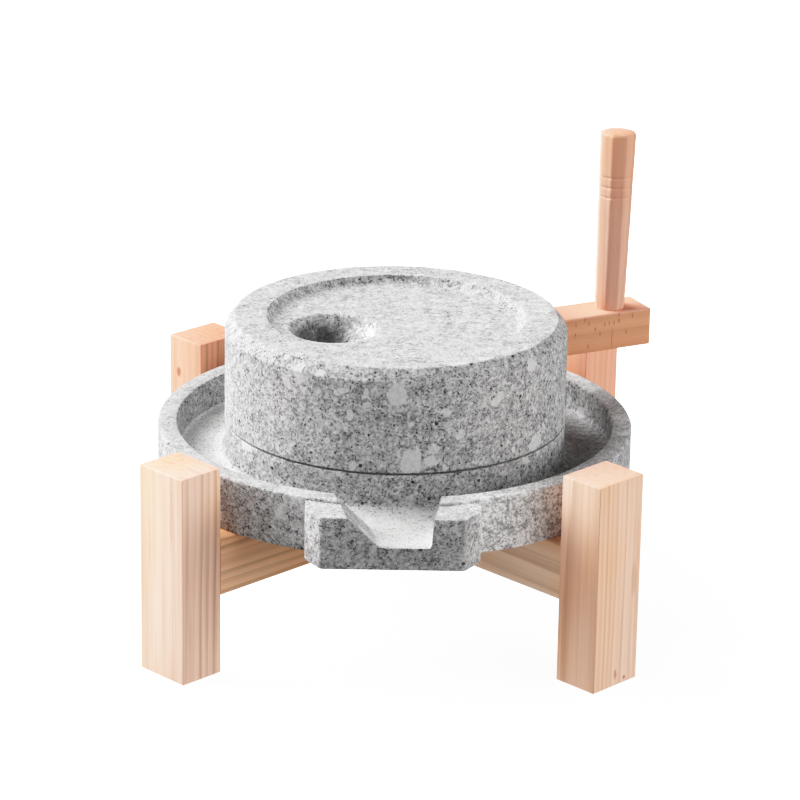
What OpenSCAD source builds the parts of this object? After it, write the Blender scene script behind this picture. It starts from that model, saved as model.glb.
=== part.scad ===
/*
Hand cranked stone mill for grain.
A granite runner stone turns on a granite lower stone, which is cut in one piece
with a collecting trough and a pouring spout. The stones rest on a crossed timber
stand with four upright legs. A wooden arm with an upright handle turns the runner.
Sizes are in millimetres. The axis of the mill is Z, the floor is Z = 0 and the
spout points along -Y.
*/

/* [Stand] */

// Height of each leg above the floor
leg_height = 155; // [140:1:180]

// Thickness of a leg along its rail
leg_depth = 36; // [32:0.5:44]

// Width of a leg across its rail
leg_width = 45; // [40:0.5:54]

// Free space between the tray wall and the inner face of a leg
leg_gap = 14.5; // [8:0.5:22]

// Width of a cross rail
rail_width = 36; // [30:0.5:39]

// Height of a cross rail
rail_height = 42; // [36:0.5:52]

// Height of the top of the rails above the floor
rail_top = 101; // [90:1:115]

// Bevel along the edges of the legs, the rails and the crank arm
timber_bevel = 1; // [0.4:0.1:2]

// Diameter of a joint dowel
dowel_dia = 10; // [6:0.5:12]

// Length of a joint dowel
dowel_length = 46; // [34:1:54]

// Distance between the two dowels of a joint
dowel_spacing = 20; // [16:0.5:22]

/* [Lower stone] */

// Outer diameter of the tray
tray_dia = 348; // [330:1:380]

// Height of the tray from its underside to its rim
tray_height = 40; // [34:0.5:48]

// Width of the rim
rim_width = 14.5; // [10:0.5:18]

// Bevel on the edges of the rim
rim_bevel = 1; // [0.4:0.1:2]

// Depth of the trough below the rim
trough_depth = 23; // [18:0.5:26]

// Radius at the foot of both trough walls
trough_cove = 8; // [4:0.5:11]

// Height of the lower grinding face above the rim
bed_rise = 2.5; // [1.5:0.5:6]

/* [Spout] */

// Distance from the tray wall to the lip of the spout
spout_reach = 23; // [18:0.5:35]

// Width of the spout at its lip
spout_lip_width = 100; // [86:1:110]

// Width of the spout where it leaves the tray
spout_root_width = 122; // [112:1:136]

// Length of the slanted corners of the spout
spout_corner_length = 17; // [8:0.5:17.5]

// Step from the rim down to the top of the spout
spout_step = 2; // [0.5:0.5:4]

// Distance from the middle of the spout to the sloping bank of its channel at the lip
channel_bank = 31.5; // [26:0.5:36]

// Distance from the middle of the spout to the steep wall of its channel at the lip
channel_wall = 28.5; // [22:0.5:34]

// Lean of the sloping bank from upright
channel_bank_slope = 46; // [30:1:50]

// Lean of the steep wall from upright
channel_wall_slope = 5; // [0:0.5:20]

// Spread of the sloping bank towards the trough
channel_bank_spread = 11; // [0:0.5:15]

// Spread of the steep wall towards the trough
channel_wall_spread = 7; // [0:0.5:15]

// Step from the floor of the trough down to the floor of the channel
channel_step = 0.5; // [0.5:0.25:4]

/* [Grinding faces] */

// Diameter of both grinding faces
grind_dia = 250; // [236:1:262]

// Gap between the grinding faces
grind_gap = 0.8; // [0.4:0.1:1]

// Bevel on the facing edges of the two stones
grind_bevel = 0.6; // [0.2:0.1:1]

// Number of sectors with parallel furrows
furrow_sectors = 8; // [6:1:8]

// Number of furrows in a sector
furrow_rows = 4; // [2:1:4]

// Distance between the furrows of a sector
furrow_pitch = 17; // [13:0.5:18]

// Width of a furrow at the face
furrow_width = 4; // [2:0.5:6]

// Depth of a furrow
furrow_depth = 1.6; // [0.8:0.1:2.5]

// Plain land left between the furrows and the edge of the stone
furrow_land = 8; // [4:0.5:14]

/* [Runner stone] */

// Height of the runner stone
runner_height = 77; // [68:0.5:90]

// Width of the bevel round the top of the runner
runner_bevel_width = 7; // [4:0.5:9]

// Height of the bevel round the top of the runner
runner_bevel_height = 8.5; // [4:0.5:11]

// Diameter of the feeding dish at the top of the runner
dish_dia = 189; // [176:1:200]

// Depth of the feeding dish
dish_depth = 6; // [5:0.25:8]

// Width of the sloping wall of the feeding dish
dish_slope = 6.5; // [3:0.5:9]

// Distance from the mill's axis to the middle of the feed eye
eye_offset = 47.5; // [45:0.5:52]

// Direction of the feed eye about the mill's axis
eye_angle = 198.4; // [180:0.1:230]

// Diameter of the mouth of the feed eye
eye_mouth_dia = 64; // [54:1:66]

// Diameter of the throat of the feed eye
eye_throat_dia = 40; // [32:1:44]

// Depth of the funnel of the feed eye below the dish
eye_funnel_depth = 28; // [20:0.5:34]

// Diameter of the hollow under the runner that takes the grain in
swallow_dia = 150; // [130:1:170]

// Depth of the hollow under the runner
swallow_depth = 3; // [2:0.25:4]

/* [Spindle] */

// Diameter of the spindle pin
pin_dia = 16; // [12:0.5:19]

// Bevel on the ends of the spindle pin
pin_bevel = 1; // [0.4:0.1:2]

// Wall of the cups that hold the pin in both stones
cup_wall = 5; // [3:0.5:6]

// Thickness of the closed end of a cup
cup_end = 4; // [3:0.5:6]

// Length of the cup in the lower stone
lower_cup_length = 34; // [28:0.5:36]

// Length of the cup in the runner
runner_cup_length = 36; // [30:0.5:40]

// Depth of the mouth of a cup below its grinding face
cup_recess = 0.5; // [0.2:0.1:1]

/* [Crank] */

// Direction of the crank about the mill's axis
crank_angle = 26.3; // [0:0.1:60]

// Width of the crank arm
arm_width = 32; // [29:0.5:38]

// Height of the crank arm
arm_height = 28.5; // [25:0.5:34]

// Distance from the top of the runner down to the top of the arm
arm_drop = 16.8; // [15:0.2:22]

// Length of the arm outside the runner
arm_reach = 80; // [68:1:95]

// Length of the arm inside the runner
arm_tenon = 45; // [42:1:54]

// Length of the wedge under the arm
wedge_length = 34; // [28:0.5:38]

// Width of the wedge under the arm
wedge_width = 28; // [24:0.5:28.5]

// Distance from the face of the runner in to the wedge
wedge_inset = 1; // [0.5:0.5:3]

// Thickness of the wedge at its outer end
wedge_butt = 5; // [4:0.25:7]

// Thickness of the wedge at its inner end
wedge_tip = 2.5; // [2:0.25:3.5]

// Distance from the end of the arm to the handle
handle_setback = 27; // [18:0.5:34]

// Lean of the handle away from the stones
handle_lean = 1; // [0:0.1:3]

// Length of the handle above the arm
handle_length = 136.5; // [110:0.5:160]

// Diameter of the foot of the handle
handle_foot_dia = 21.4; // [18:0.2:23]

// Diameter of the handle near its top
handle_top_dia = 25.4; // [23:0.2:30]

// Depth of the handle's socket in the arm
handle_socket = 20; // [15:0.5:21]

// Height of the rounded end of the handle
handle_crown = 4; // [2:0.25:6]

// Number of steps in the curve of the rounded end
crown_steps = 6; // [4:1:8]

// Distance from the end of the handle to its first ring groove
groove_start = 34; // [20:0.5:45]

// Number of ring grooves in the handle
groove_count = 3; // [1:1:4]

// Distance between the ring grooves
groove_pitch = 7.6; // [5:0.2:9]

// Width of a ring groove
groove_width = 1.8; // [1:0.1:3]

// Depth of a ring groove
groove_depth = 0.7; // [0.3:0.1:1.2]

/* [Fits] */

// Clearance round a dowel
dowel_clearance = 0.05; // [0.02:0.01:0.1]

// Free space behind each end of a dowel
dowel_end_gap = 1; // [0.4:0.1:2]

// Clearance between the rails and the lower stone that rests on them
seat_gap = 0.1; // [0.05:0.05:0.3]

// Clearance on each side of the lap joint
lap_clearance = 0.1; // [0.05:0.05:0.25]

// Clearance round a cup in its stone
cup_clearance = 0.05; // [0.02:0.01:0.1]

// Running clearance round the pin
pin_clearance = 0.06; // [0.03:0.01:0.1]

// Clearance on each side of the arm in the runner
mortise_clearance = 0.2; // [0.1:0.05:0.3]

// Clearance under the wedge in the runner
wedge_clearance = 0.05; // [0.02:0.01:0.1]

// Free space behind the arm in the runner
mortise_end_gap = 0.5; // [0.2:0.1:1]

// Running clearance round the foot of the handle
handle_clearance = 0.08; // [0.03:0.01:0.1]

/* [Hidden] */

// Names of the sub-parts

// Sub-part to draw

// Fineness of round faces
$fn = 96;

// Overshoot of a cut beyond a face
cut = 2;

// Direction of the back right leg about the mill's axis
back_right_angle = 45;
// Direction of the back left leg
back_left_angle = back_right_angle + 90;
// Direction of the front left leg
front_left_angle = back_right_angle + 180;
// Direction of the front right leg
front_right_angle = back_right_angle + 270;

// Outer radius of the tray
tray_r = tray_dia / 2;
// Inner radius of the rim
rim_inner_r = tray_r - rim_width;
// Radius of both grinding faces
grind_r = grind_dia / 2;
// Width of the trough
trough_width = rim_inner_r - grind_r;
// Level of the underside of the lower stone
stone_base = rail_top + seat_gap;
// Level of the rim
rim_top = stone_base + tray_height;
// Level of the trough floor
trough_floor = rim_top - trough_depth;
// Level of the lower grinding face
bed_top = rim_top + bed_rise;

// Level of the top of the spout
spout_top = rim_top - spout_step;
// Distance from the mill's axis to the lip of the spout
spout_lip = tray_r + spout_reach;
// Level of the channel floor
channel_floor = trough_floor - channel_step;
// Distance from the mill's axis to the inner end of the channel
channel_inner = (grind_r + rim_inner_r) / 2;
// Length of the blocks that shape the channel
channel_length = 2 * spout_lip;

// Level of the runner's grinding face
runner_base = bed_top + grind_gap;
// Level of the top of the runner
runner_top = runner_base + runner_height;
// Level of the floor of the dish
dish_floor = runner_height - dish_depth;

// Distance from the mill's axis to the inner face of a leg
leg_inner = tray_r + leg_gap;
// Shift that sets a leg flush with one side of its rail
leg_shift = (leg_width - rail_width) / 2;
// Level of the middle of the rails
rail_middle = rail_top - rail_height / 2;
// Levels of the two dowels of a joint
dowel_high = rail_middle + dowel_spacing / 2;
// Level of the lower dowel
dowel_low = rail_middle - dowel_spacing / 2;

// Radius of the spindle pin
pin_r = pin_dia / 2;
// Outer radius of the cups
cup_r = pin_r + pin_clearance + cup_wall;
// Level of the lower end of the lower cup
lower_cup_base = bed_top - cup_recess - lower_cup_length;
// Level of the lower end of the pin
pin_base = lower_cup_base + cup_end;
// Level of the open end of the runner's cup
runner_cup_base = runner_base + cup_recess;
// Level of the upper end of the pin
pin_top = runner_cup_base + runner_cup_length - cup_end;
// Length of the pin
pin_length = pin_top - pin_base;

// Level of the top of the arm
arm_top = runner_top - arm_drop;
// Level of the underside of the arm
arm_base = arm_top - arm_height;
// Distance from the mill's axis to the inner end of the arm
arm_inner = grind_r - arm_tenon;
// Distance from the mill's axis to the outer end of the arm
arm_outer = grind_r + arm_reach;
// Distance from the mill's axis to the outer end of the wedge
wedge_outer = sqrt(pow(grind_r, 2) - pow(arm_width / 2, 2)) - wedge_inset;
// Distance from the mill's axis to the inner end of the wedge
wedge_inner = wedge_outer - wedge_length;
// Distance from the mill's axis to the foot of the handle
handle_r = arm_outer - handle_setback;

// Thickness of the space under the arm at a distance from the mill's axis
function wedge_space(r) = wedge_tip + (wedge_butt - wedge_tip) * (r - wedge_inner) / wedge_length;

// Radius of the handle at a height above the arm
function handle_radius(z) = (handle_foot_dia + (handle_top_dia - handle_foot_dia) * z / handle_length) / 2;

// Distance from the middle of a sector to the inner end of a furrow
function furrow_begin(row) = row * furrow_pitch / tan(360 / furrow_sectors) + cup_r + 2 * furrow_width;

// Distance from the middle of a sector to the outer end of a furrow
function furrow_end(row) = sqrt(pow(grind_r - furrow_land, 2) - pow(row * furrow_pitch, 2));

// Section of a timber with bevelled edges, centred on its width and standing on its base
module timber_section(width, height) {
    polygon([
        [-width / 2 + timber_bevel, 0], [width / 2 - timber_bevel, 0],
        [width / 2, timber_bevel], [width / 2, height - timber_bevel],
        [width / 2 - timber_bevel, height], [-width / 2 + timber_bevel, height],
        [-width / 2, height - timber_bevel], [-width / 2, timber_bevel]
    ]);
}

// Hole for one dowel, from the face between leg and rail
module dowel_hole(level) {
    translate([leg_inner, 0, level])
    rotate([0, 90, 0])
    cylinder(h = dowel_length + 2 * dowel_end_gap, d = dowel_dia + 2 * dowel_clearance, center = true);
}

// Both dowel holes at the outer end of a rail
module dowel_holes() {
    dowel_hole(dowel_high);
    dowel_hole(dowel_low);
}

// Upright leg at an angle about the mill's axis, shifted across its rail
module leg(angle, shift) {
    color("BurlyWood")
    rotate([0, 0, angle])
    difference() {
        translate([leg_inner, shift, 0])
        linear_extrude(height = leg_height)
        rotate([0, 0, -90])
        timber_section(leg_width, leg_depth);
        dowel_holes();
    }
}

// Dowel between a leg and its rail
module dowel(angle, level) {
    color("Peru")
    rotate([0, 0, angle])
    translate([leg_inner, 0, level])
    rotate([0, 90, 0])
    cylinder(h = dowel_length, d = dowel_dia, center = true);
}

// Cross rail before the lap joint is cut
module rail_blank() {
    difference() {
        translate([-leg_inner, 0, rail_top - rail_height])
        rotate([90, 0, 90])
        linear_extrude(height = 2 * leg_inner)
        timber_section(rail_width, rail_height);
        dowel_holes();
        rotate([0, 0, 180])
        dowel_holes();
    }
}

// Space cut from a rail for the other rail, from a level upwards
module lap_cut(level) {
    translate([-rail_width / 2 - lap_clearance, -rail_width, level])
    cube([rail_width + 2 * lap_clearance, 2 * rail_width, rail_height]);
}

// Rail with its lap joint cut from the top
module rail_lower() {
    color("Tan")
    rotate([0, 0, back_right_angle])
    difference() {
        rail_blank();
        lap_cut(rail_middle);
    }
}

// Rail with its lap joint cut from below
module rail_upper() {
    color("Wheat")
    rotate([0, 0, back_left_angle])
    difference() {
        rail_blank();
        lap_cut(rail_middle - rail_height);
    }
}

// Fillet left at the foot of a trough wall
module trough_foot() {
    difference() {
        square(trough_cove);
        translate([trough_cove, trough_cove])
        circle(r = trough_cove);
    }
}

// Section of the trough, measured from the foot of the bed
module trough_section() {
    difference() {
        polygon([
            [0, 0], [trough_width, 0],
            [trough_width, trough_depth - rim_bevel],
            [trough_width + rim_bevel + cut, trough_depth + cut],
            [0, trough_depth + cut]
        ]);
        trough_foot();
        translate([trough_width, 0])
        mirror([1, 0])
        trough_foot();
    }
}

// Section of the lower stone, measured from its underside
module lower_section() {
    difference() {
        polygon([
            [0, 0], [tray_r - rim_bevel, 0], [tray_r, rim_bevel],
            [tray_r, tray_height - rim_bevel], [tray_r - rim_bevel, tray_height],
            [grind_r, tray_height], [grind_r, tray_height + bed_rise - grind_bevel],
            [grind_r - grind_bevel, tray_height + bed_rise], [0, tray_height + bed_rise]
        ]);
        translate([grind_r, tray_height - trough_depth])
        trough_section();
    }
}

// Block of the spout, from inside the rim to the lip
module spout_block() {
    translate([0, 0, stone_base])
    linear_extrude(height = tray_height - spout_step)
    polygon([
        [-spout_root_width / 2, -channel_inner], [-spout_root_width / 2, spout_corner_length - spout_lip],
        [-spout_lip_width / 2, -spout_lip], [spout_lip_width / 2, -spout_lip],
        [spout_root_width / 2, spout_corner_length - spout_lip], [spout_root_width / 2, -channel_inner]
    ]);
}

// Everything on the inner side of one wall of the channel
module channel_side(edge, slope, spread) {
    depth = spout_top - channel_floor;
    translate([edge, -spout_lip, channel_floor])
    rotate([0, 0, spread])
    rotate([90, 0, 0])
    linear_extrude(height = channel_length, center = true)
    polygon([
        [-channel_length, 0], [-depth * tan(slope), 0],
        [(trough_depth + cut - depth) * tan(slope), trough_depth + cut],
        [-channel_length, trough_depth + cut]
    ]);
}

// Channel from the trough to the lip
module channel() {
    intersection() {
        channel_side(channel_wall, channel_wall_slope, -channel_wall_spread);
        mirror([1, 0, 0])
        channel_side(channel_bank, channel_bank_slope, -channel_bank_spread);
        translate([-tray_r, -spout_lip - cut, channel_floor])
        cube([tray_dia, spout_lip + cut - channel_inner, 2 * trough_depth]);
    }
}

// Furrows of a grinding face that lies at Z = 0 and faces up
module furrows() {
    for (sector = [0 : furrow_sectors - 1])
    rotate([0, 0, sector * 360 / furrow_sectors])
    for (row = [0 : furrow_rows - 1])
    translate([furrow_begin(row), row * furrow_pitch, 0])
    rotate([90, 0, 90])
    linear_extrude(height = furrow_end(row) - furrow_begin(row))
    polygon([
        [-furrow_width / 2, cut], [-furrow_width / 2, 0], [0, -furrow_depth],
        [furrow_width / 2, 0], [furrow_width / 2, cut]
    ]);
}

// Lower stone with its trough, spout and grinding face
module lower_stone() {
    color("Silver")
    difference() {
        union() {
            translate([0, 0, stone_base])
            rotate_extrude()
            lower_section();
            difference() {
                spout_block();
                cylinder(h = 2 * rim_top, r = tray_r - rim_width / 2);
            }
        }
        channel();
        translate([0, 0, bed_top])
        furrows();
        translate([0, 0, lower_cup_base])
        cylinder(h = lower_cup_length + cup_recess + cut, r = cup_r + cup_clearance);
    }
}

// Cup for the pin, standing on its closed end
module cup(length) {
    difference() {
        cylinder(h = length, r = cup_r);
        translate([0, 0, cup_end])
        cylinder(h = length, r = pin_r + pin_clearance);
    }
}

// Cup in the lower stone
module lower_cup() {
    color("DimGray")
    translate([0, 0, lower_cup_base])
    cup(lower_cup_length);
}

// Pin on which the runner turns
module spindle_pin() {
    color("SlateGray")
    translate([0, 0, pin_base])
    rotate_extrude()
    polygon([
        [0, 0], [pin_r - pin_bevel, 0], [pin_r, pin_bevel],
        [pin_r, pin_length - pin_bevel], [pin_r - pin_bevel, pin_length], [0, pin_length]
    ]);
}

// Cup in the runner
module runner_cup() {
    color("DimGray")
    translate([0, 0, runner_cup_base + runner_cup_length])
    mirror([0, 0, 1])
    cup(runner_cup_length);
}

// Feed eye, from above the dish to below the runner
module feed_eye() {
    rotate([0, 0, eye_angle])
    translate([eye_offset, 0, 0]) {
        translate([0, 0, -cut])
        cylinder(h = runner_height, d = eye_throat_dia);
        translate([0, 0, dish_floor - eye_funnel_depth])
        cylinder(h = eye_funnel_depth, d1 = eye_throat_dia, d2 = eye_mouth_dia);
        translate([0, 0, dish_floor])
        cylinder(h = dish_depth + cut, d = eye_mouth_dia);
    }
}

// Space in the runner for the arm and its wedge
module mortise() {
    inner = arm_inner - mortise_end_gap;
    outer = grind_r + cut;
    rotate([0, 0, crank_angle])
    rotate([90, 0, 0])
    linear_extrude(height = arm_width + 2 * mortise_clearance, center = true)
    polygon([
        [inner, arm_top], [inner, arm_base - wedge_space(inner) - wedge_clearance],
        [outer, arm_base - wedge_space(outer) - wedge_clearance], [outer, arm_top]
    ]);
}

// Runner stone with its dish, feed eye, mortise and grinding face
module runner_stone() {
    color("LightGray")
    difference() {
        translate([0, 0, runner_base])
        difference() {
            rotate_extrude()
            polygon([
                [0, 0], [grind_r - grind_bevel, 0], [grind_r, grind_bevel],
                [grind_r, runner_height - runner_bevel_height],
                [grind_r - runner_bevel_width, runner_height],
                [dish_dia / 2, runner_height],
                [dish_dia / 2 - dish_slope, dish_floor], [0, dish_floor]
            ]);
            feed_eye();
            mirror([0, 0, 1])
            furrows();
            cylinder(h = swallow_depth, d1 = swallow_dia, d2 = 2 * cup_r);
        }
        mortise();
        translate([0, 0, runner_base])
        cylinder(h = cup_recess + runner_cup_length, r = cup_r + cup_clearance);
    }
}

// Arm between the runner and the handle
module crank_arm() {
    color("SandyBrown")
    rotate([0, 0, crank_angle])
    difference() {
        translate([arm_inner, 0, arm_base])
        rotate([90, 0, 90])
        linear_extrude(height = arm_outer - arm_inner)
        timber_section(arm_width, arm_height);
        handle_place()
        translate([0, 0, -handle_socket])
        cylinder(h = 2 * handle_socket, d = handle_foot_dia + 2 * handle_clearance);
    }
}

// Wedge that holds the arm in the runner
module arm_wedge() {
    color("Peru")
    rotate([0, 0, crank_angle])
    rotate([90, 0, 0])
    linear_extrude(height = wedge_width, center = true)
    polygon([
        [wedge_inner, arm_base], [wedge_inner, arm_base - wedge_space(wedge_inner)],
        [wedge_outer, arm_base - wedge_space(wedge_outer)], [wedge_outer, arm_base]
    ]);
}

// Place of the handle, with the top of the arm at Z = 0
module handle_place() {
    translate([handle_r, 0, arm_top])
    rotate([0, handle_lean, 0])
    children();
}

// Outline of the rounded end of the handle, from its middle to its edge
function crown_outline() = [
    for (i = [0 : crown_steps])
    let (turn = 90 - 90 * i / crown_steps, base = handle_length - handle_crown)
    [handle_radius(base) * cos(turn), base + handle_crown * sin(turn)]
];

// Outline of one ring groove, from its upper to its lower edge
function groove_outline(z) = [
    [handle_radius(z + groove_width / 2), z + groove_width / 2],
    [handle_radius(z) - groove_depth, z],
    [handle_radius(z - groove_width / 2), z - groove_width / 2]
];

// Upright handle with its foot in the arm
module crank_handle() {
    grooves = [
        for (i = [0 : groove_count - 1])
        each groove_outline(handle_length - groove_start - i * groove_pitch)
    ];
    color("Burlywood")
    rotate([0, 0, crank_angle])
    handle_place()
    rotate_extrude()
    polygon(concat(
        crown_outline(),
        grooves,
        [
            [handle_foot_dia / 2, 0], [handle_foot_dia / 2, -handle_socket],
            [0, -handle_socket]
        ]
    ));
}

leg(front_left_angle, -leg_shift);  // leg_front_left
leg(front_right_angle, 0);  // leg_front_right
leg(back_left_angle, 0);  // leg_back_left
leg(back_right_angle, leg_shift);  // leg_back_right
rail_lower();
rail_upper();
dowel(front_left_angle, dowel_high);  // dowel_front_left_high
dowel(front_left_angle, dowel_low);  // dowel_front_left_low
dowel(front_right_angle, dowel_high);  // dowel_front_right_high
dowel(front_right_angle, dowel_low);  // dowel_front_right_low
dowel(back_left_angle, dowel_high);  // dowel_back_left_high
dowel(back_left_angle, dowel_low);  // dowel_back_left_low
dowel(back_right_angle, dowel_high);  // dowel_back_right_high
dowel(back_right_angle, dowel_low);  // dowel_back_right_low
lower_stone();
lower_cup();
spindle_pin();
runner_stone();
runner_cup();
crank_arm();
arm_wedge();
crank_handle();
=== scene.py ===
"""Looks of a hand cranked stone grain mill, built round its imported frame.

Lengths are metres. The mill's axis is Z, the floor is Z = 0 and the spout points along -Y.
"""

from __future__ import annotations

import logging
import math
from dataclasses import dataclass
from enum import Enum
from typing import Callable, Sequence, Union

import bmesh
import bpy
from mathutils import Euler, Matrix, Vector, noise


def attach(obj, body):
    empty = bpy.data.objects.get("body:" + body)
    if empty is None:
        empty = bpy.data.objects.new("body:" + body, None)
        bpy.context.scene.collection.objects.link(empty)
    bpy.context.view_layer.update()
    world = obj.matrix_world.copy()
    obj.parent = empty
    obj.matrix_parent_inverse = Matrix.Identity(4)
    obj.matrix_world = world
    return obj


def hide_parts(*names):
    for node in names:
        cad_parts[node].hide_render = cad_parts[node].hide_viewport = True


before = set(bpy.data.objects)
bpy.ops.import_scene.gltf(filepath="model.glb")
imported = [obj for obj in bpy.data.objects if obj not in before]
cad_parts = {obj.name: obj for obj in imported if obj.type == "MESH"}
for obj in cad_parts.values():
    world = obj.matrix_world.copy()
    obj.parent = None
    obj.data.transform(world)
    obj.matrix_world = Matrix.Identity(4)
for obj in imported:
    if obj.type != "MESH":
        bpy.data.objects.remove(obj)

LOG = logging.getLogger("grain_mill")

# One millimetre in metres
MM = 0.001
# Distance beyond which a corner is clear of a face
CLEAR = 1 * MM
# Overshoot of a cutter beyond the face that it cuts
OVERSHOOT = 5 * MM
# Distance under which two corners of a mesh are one
WELD = 0.001 * MM
# Width under which a face left by a cut is a sliver
SLIVER = 0.02 * MM

# Middle value of a soft noise
NOISE_MIDDLE = 0.5
# Longer than any outline here, for a piece whose outline isn't divided
UNDIVIDED = 1.0

Colour = tuple[float, float, float]
Triple = tuple[float, float, float]
EdgeTest = Callable[[bmesh.types.BMEdge], bool]
PlaceTest = Callable[[Vector], bool]


def grey(level: float) -> Colour:
    """Colour of an even grey."""
    return (level, level, level)


class Body(Enum):
    """Bodies of the frame that the modelled pieces ride on."""

    STAND = "stand"
    BED = "bed"
    RUNNER = "runner"
    GRIP = "grip"


class Slot(Enum):
    """Finishes of the modelled pieces, by the record's names."""

    GRANITE = "granite"
    STAND_WOOD = "stand_wood"
    CRANK_WOOD = "crank_wood"


class Cut(Enum):
    """Ways to put two solids together."""

    TAKE = "DIFFERENCE"
    JOIN = "UNION"


class Blend(Enum):
    """Ways to mix two colours."""

    PLAIN = "MIX"
    SHADE = "MULTIPLY"


class Wire:
    """A socket of a material, on which Python operators add Math nodes."""

    def __init__(self, shader: Shader, socket: bpy.types.NodeSocket) -> None:
        """Keeps the material's shader and the socket."""
        self.shader = shader
        self.socket = socket

    def _math(self, operation: str, first: Value, second: Value = 0.0) -> Wire:
        """Adds one Math node.

        Args:
            operation: Blender's name of the sum.
            first: The left side.
            second: The right side, where the sum has one.

        Returns:
            The wire of its result.
        """
        values = {"Value": first, "Value_001": second}
        return self.shader.add("ShaderNodeMath", {"operation": operation}, values)

    def _vector(self, operation: str, by: Union[Wire, Triple]) -> Wire:
        """Adds one Vector Math node.

        Args:
            operation: Blender's name of the sum.
            by: The right side.

        Returns:
            The wire of its result.
        """
        values = {"Vector": self, "Vector_001": by}
        return self.shader.add("ShaderNodeVectorMath", {"operation": operation}, values)

    def __add__(self, other: Value) -> Wire:
        """Sum."""
        return self._math("ADD", self, other)

    def __radd__(self, other: Value) -> Wire:
        """Sum with a number on the left."""
        return self._math("ADD", other, self)

    def __sub__(self, other: Value) -> Wire:
        """Difference."""
        return self._math("SUBTRACT", self, other)

    def __rsub__(self, other: Value) -> Wire:
        """Difference from a number on the left."""
        return self._math("SUBTRACT", other, self)

    def __mul__(self, other: Value) -> Wire:
        """Product."""
        return self._math("MULTIPLY", self, other)

    def __rmul__(self, other: Value) -> Wire:
        """Product with a number on the left."""
        return self._math("MULTIPLY", other, self)

    def __truediv__(self, other: Value) -> Wire:
        """Quotient."""
        return self._math("DIVIDE", self, other)

    def __pow__(self, other: Value) -> Wire:
        """Power."""
        return self._math("POWER", self, other)

    def __abs__(self) -> Wire:
        """Distance from nought."""
        return self._math("ABSOLUTE", self)

    def floor(self) -> Wire:
        """Whole number below."""
        return self._math("FLOOR", self)

    def fraction(self) -> Wire:
        """Part after the whole number below."""
        return self._math("FRACT", self)

    def larger(self, other: Value) -> Wire:
        """Larger of two values."""
        return self._math("MAXIMUM", self, other)

    def smaller(self, other: Value) -> Wire:
        """Smaller of two values."""
        return self._math("MINIMUM", self, other)

    def ramp(self, low: float, high: float) -> Wire:
        """Smooth step from 0 at low to 1 at high, or the other way round where low is above high.

        Args:
            low: Value that gives 0.
            high: Value that gives 1.

        Returns:
            The wire of the step.
        """
        start, end = (0.0, 1.0) if low < high else (1.0, 0.0)
        values = {
            "Value": self, "From Min": min(low, high), "From Max": max(low, high),
            "To Min": start, "To Max": end,
        }
        return self.shader.add("ShaderNodeMapRange", {"interpolation_type": "SMOOTHSTEP"}, values)

    def split(self) -> tuple[Wire, Wire, Wire]:
        """The three parts of a vector."""
        node = self.shader.add("ShaderNodeSeparateXYZ", {}, {"Vector": self}).socket.node
        return tuple(Wire(self.shader, out) for out in node.outputs)

    def moved(self, by: Union[Wire, Triple]) -> Wire:
        """Vector sum."""
        return self._vector("ADD", by)

    def stretched(self, by: Triple) -> Wire:
        """Vector times three factors."""
        return self._vector("MULTIPLY", by)

    def length(self) -> Wire:
        """Length of a vector."""
        return self.shader.add("ShaderNodeVectorMath", {"operation": "LENGTH"}, {"Vector": self}, "Value")


Value = Union[Wire, float]


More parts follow.
